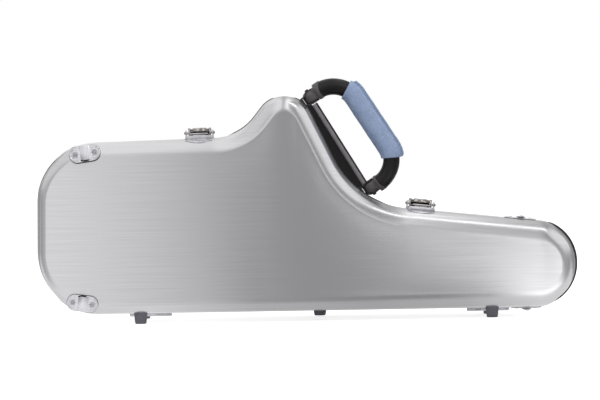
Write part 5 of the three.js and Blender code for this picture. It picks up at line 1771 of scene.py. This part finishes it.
# %% Sizes and levels of the coves
COVE_AWAY = 4.5
COVE_HALF = 9.0
COVE_PROFILE = [
    (0.12, 0.002), (1.5, 0.002), (3.4, 0.002), (4.3, 0.3), (4.5, 0.9), (4.5, 1.8), (4.2, 2.5),
    (3.2, 3.0), (1.5, 3.2), (0.0, 3.25),
]
NEAR_SPREAD = 0.52
SLANT_AWAY, SLANT_UP = 0.037, -0.11
MIDDLE_HEIGHTS, TOP_HEIGHTS = (0.34, 0.66), (1.5, 2.5)
LOW_LEVELS = [
    (-1.9, 0.46), (-1.05, 0.52), (-0.86, 0.95), (-0.74, 0.95), (-0.45, 0.76), (-0.3, 0.64),
    (-0.15, 0.4), (0.1, 0.31), (0.28, 0.27), (0.42, 0.27), (0.5, 0.38), (0.57, 0.5),
    (0.64, 0.91), (0.72, 1.55), (0.86, 1.69), (0.95, 0.91), (1.03, 0.43), (1.4, 0.36), (1.9, 0.34),
]
MIDDLE_LEVELS = [
    (-1.9, 0.46), (-1.05, 0.52), (-0.86, 0.95), (-0.74, 0.95), (-0.45, 0.76), (-0.3, 0.64),
    (-0.15, 0.4), (0.1, 0.31), (0.45, 0.34), (0.62, 0.34), (0.8, 0.48), (1.0, 0.46), (1.9, 0.34),
]
TOP_LEVELS = [
    (-1.9, 0.8), (-1.1, 0.98), (-0.32, 1.0), (-0.12, 0.6), (0.06, 0.56), (0.2, 0.98),
    (0.3, 1.05), (0.42, 1.3), (0.58, 1.5), (0.74, 1.0), (0.9, 0.5), (1.8, 0.34),
    (2.7, 0.95), (4.5, 1.0),
]


# %% The light of the coves


def cove_shine(name):
    """Light that follows levels given at places across, which widen with the distance,
    slant a little and change to other sets of levels higher up."""
    made, t = bare_material(name)
    place = t.nodes.new("ShaderNodeTexCoord")
    split = t.nodes.new("ShaderNodeSeparateXYZ")
    t.links.new(place.outputs["Object"], split.inputs[0])
    far = node(t, "ShaderNodeMath", operation="ABSOLUTE")
    t.links.new(split.outputs["Y"], far.inputs[0])
    reach = node(t, "ShaderNodeMath", operation="ADD")
    t.links.new(far.outputs[0], reach.inputs[0])
    t.links.new(split.outputs["Z"], reach.inputs[1])
    away = node(t, "ShaderNodeMath", operation="MULTIPLY_ADD")
    away.inputs[1].default_value = (1 - NEAR_SPREAD) / COVE_AWAY
    away.inputs[2].default_value = NEAR_SPREAD
    t.links.new(reach.outputs[0], away.inputs[0])
    spread = node(t, "ShaderNodeMath", operation="DIVIDE")
    t.links.new(split.outputs["X"], spread.inputs[0])
    t.links.new(away.outputs[0], spread.inputs[1])
    slant = node(t, "ShaderNodeMath", operation="MULTIPLY_ADD")
    slant.inputs[1].default_value = SLANT_AWAY
    t.links.new(far.outputs[0], slant.inputs[0])
    t.links.new(spread.outputs[0], slant.inputs[2])
    shifted = node(t, "ShaderNodeMath", operation="MULTIPLY_ADD")
    shifted.inputs[1].default_value = SLANT_UP
    t.links.new(split.outputs["Z"], shifted.inputs[0])
    t.links.new(slant.outputs[0], shifted.inputs[2])
    shown = ramp_of(t, shifted.outputs[0], LOW_LEVELS)
    for (start, end), place_x, levels in (
        (MIDDLE_HEIGHTS, shifted, MIDDLE_LEVELS),
        (TOP_HEIGHTS, spread, TOP_LEVELS),
    ):
        high = node(
            t, "ShaderNodeMapRange", interpolation_type="SMOOTHSTEP", in_From_Min=start,
            in_From_Max=end,
        )
        t.links.new(split.outputs["Z"], high.inputs["Value"])
        level = node(t, "ShaderNodeMix", data_type="RGBA")
        t.links.new(high.outputs["Result"], level.inputs["Factor"])
        t.links.new(shown, level.inputs["A"])
        t.links.new(ramp_of(t, place_x.outputs[0], levels), level.inputs["B"])
        shown = level.outputs["Result"]
    shine = t.nodes.new("ShaderNodeEmission")
    t.links.new(shown, shine.inputs["Color"])
    out = t.nodes.new("ShaderNodeOutputMaterial")
    t.links.new(shine.outputs[0], out.inputs["Surface"])
    return made


# %% The two coves


def cove(name, side):
    """It lies on the floor, rises and leans over to a canopy, on one side of the case."""
    mesh = bpy.data.meshes.new(name)
    points = [(x, side * y, z) for y, z in COVE_PROFILE for x in (-COVE_HALF, COVE_HALF)]
    faces = [(2 * k, 2 * k + 1, 2 * k + 3, 2 * k + 2) for k in range(len(COVE_PROFILE) - 1)]
    mesh.from_pydata(points, [], faces)
    mesh.materials.append(cove_shine(name))
    made = bpy.data.objects.new(name, mesh)
    scene.collection.objects.link(made)
    made.visible_camera = made.visible_diffuse = made.visible_shadow = False
    print(name, len(faces), "faces")


cove("card_front", -1)
cove("card_rear", 1)

# %% Grey flags beside the case
FLAG_AWAY, FLAG_HEIGHT = 3.0, 0.9
flag_paper, flag_tree = bare_material("flag_paper")
flag_shine = node(flag_tree, "ShaderNodeEmission", in_Strength=0.3)
flag_out = flag_tree.nodes.new("ShaderNodeOutputMaterial")
flag_tree.links.new(flag_shine.outputs[0], flag_out.inputs["Surface"])
for flag_side in (-1, 1):
    x = FLAG_AWAY * flag_side
    corners = [(x, -2, 0), (x, 3, 0), (x, 3, FLAG_HEIGHT), (x, -2, FLAG_HEIGHT)]
    flag = stage_plane(f"flag_{'left' if flag_side < 0 else 'right'}", corners, flag_paper)
    flag.visible_camera = flag.visible_diffuse = flag.visible_shadow = False
    print(flag.name, "at", x)

# %% [markdown]
# ## Lamps
#
# A wide lamp from the left lights the front, a weaker one fills the back, and neither is
# mirrored by the metal. A small lamp gives the black handle its highlights only, and a
# last one brightens the slim end.

# %% The lamps


def lamp(name, place, target, size, watts):
    data = bpy.data.lights.new(name, "AREA")
    data.shape = "RECTANGLE"
    data.size, data.size_y = size
    data.energy = watts
    made = bpy.data.objects.new(name, data)
    scene.collection.objects.link(made)
    direction = Vector(target) - Vector(place)
    made.matrix_world = Matrix.Translation(place) @ direction.to_track_quat(
        "-Z", "Y"
    ).to_matrix().to_4x4()
    return made


key = lamp("key", (-0.8, -1.6, 2.6), target=(0, 0, 0.15), size=(2.4, 1.4), watts=42)
fill = lamp("fill", (2.2, 1.2, 2.2), target=(0, 0, 0.15), size=(1.8, 1.4), watts=22)
key.visible_glossy = fill.visible_glossy = False
glint = lamp("glint", (1.5, -2.4, 2.1), target=(0.06, 0, 0.28), size=(0.22, 0.9), watts=10)
lit_by_glint = bpy.data.collections.new("lit_by_glint")
for name in ("handle_tube", "handle_socket_upper", "handle_socket_lower", "mount_edge"):
    lit_by_glint.objects.link(bpy.data.objects[name])
glint.light_linking.receiver_collection = lit_by_glint
lamp("kicker", (1.0, -0.2, 2.4), target=(0.34, 0, 0.15), size=(0.42, 0.9), watts=3.4)
print("lamps", [light.name for light in bpy.data.lights])

scene.view_settings.view_transform = "Standard"
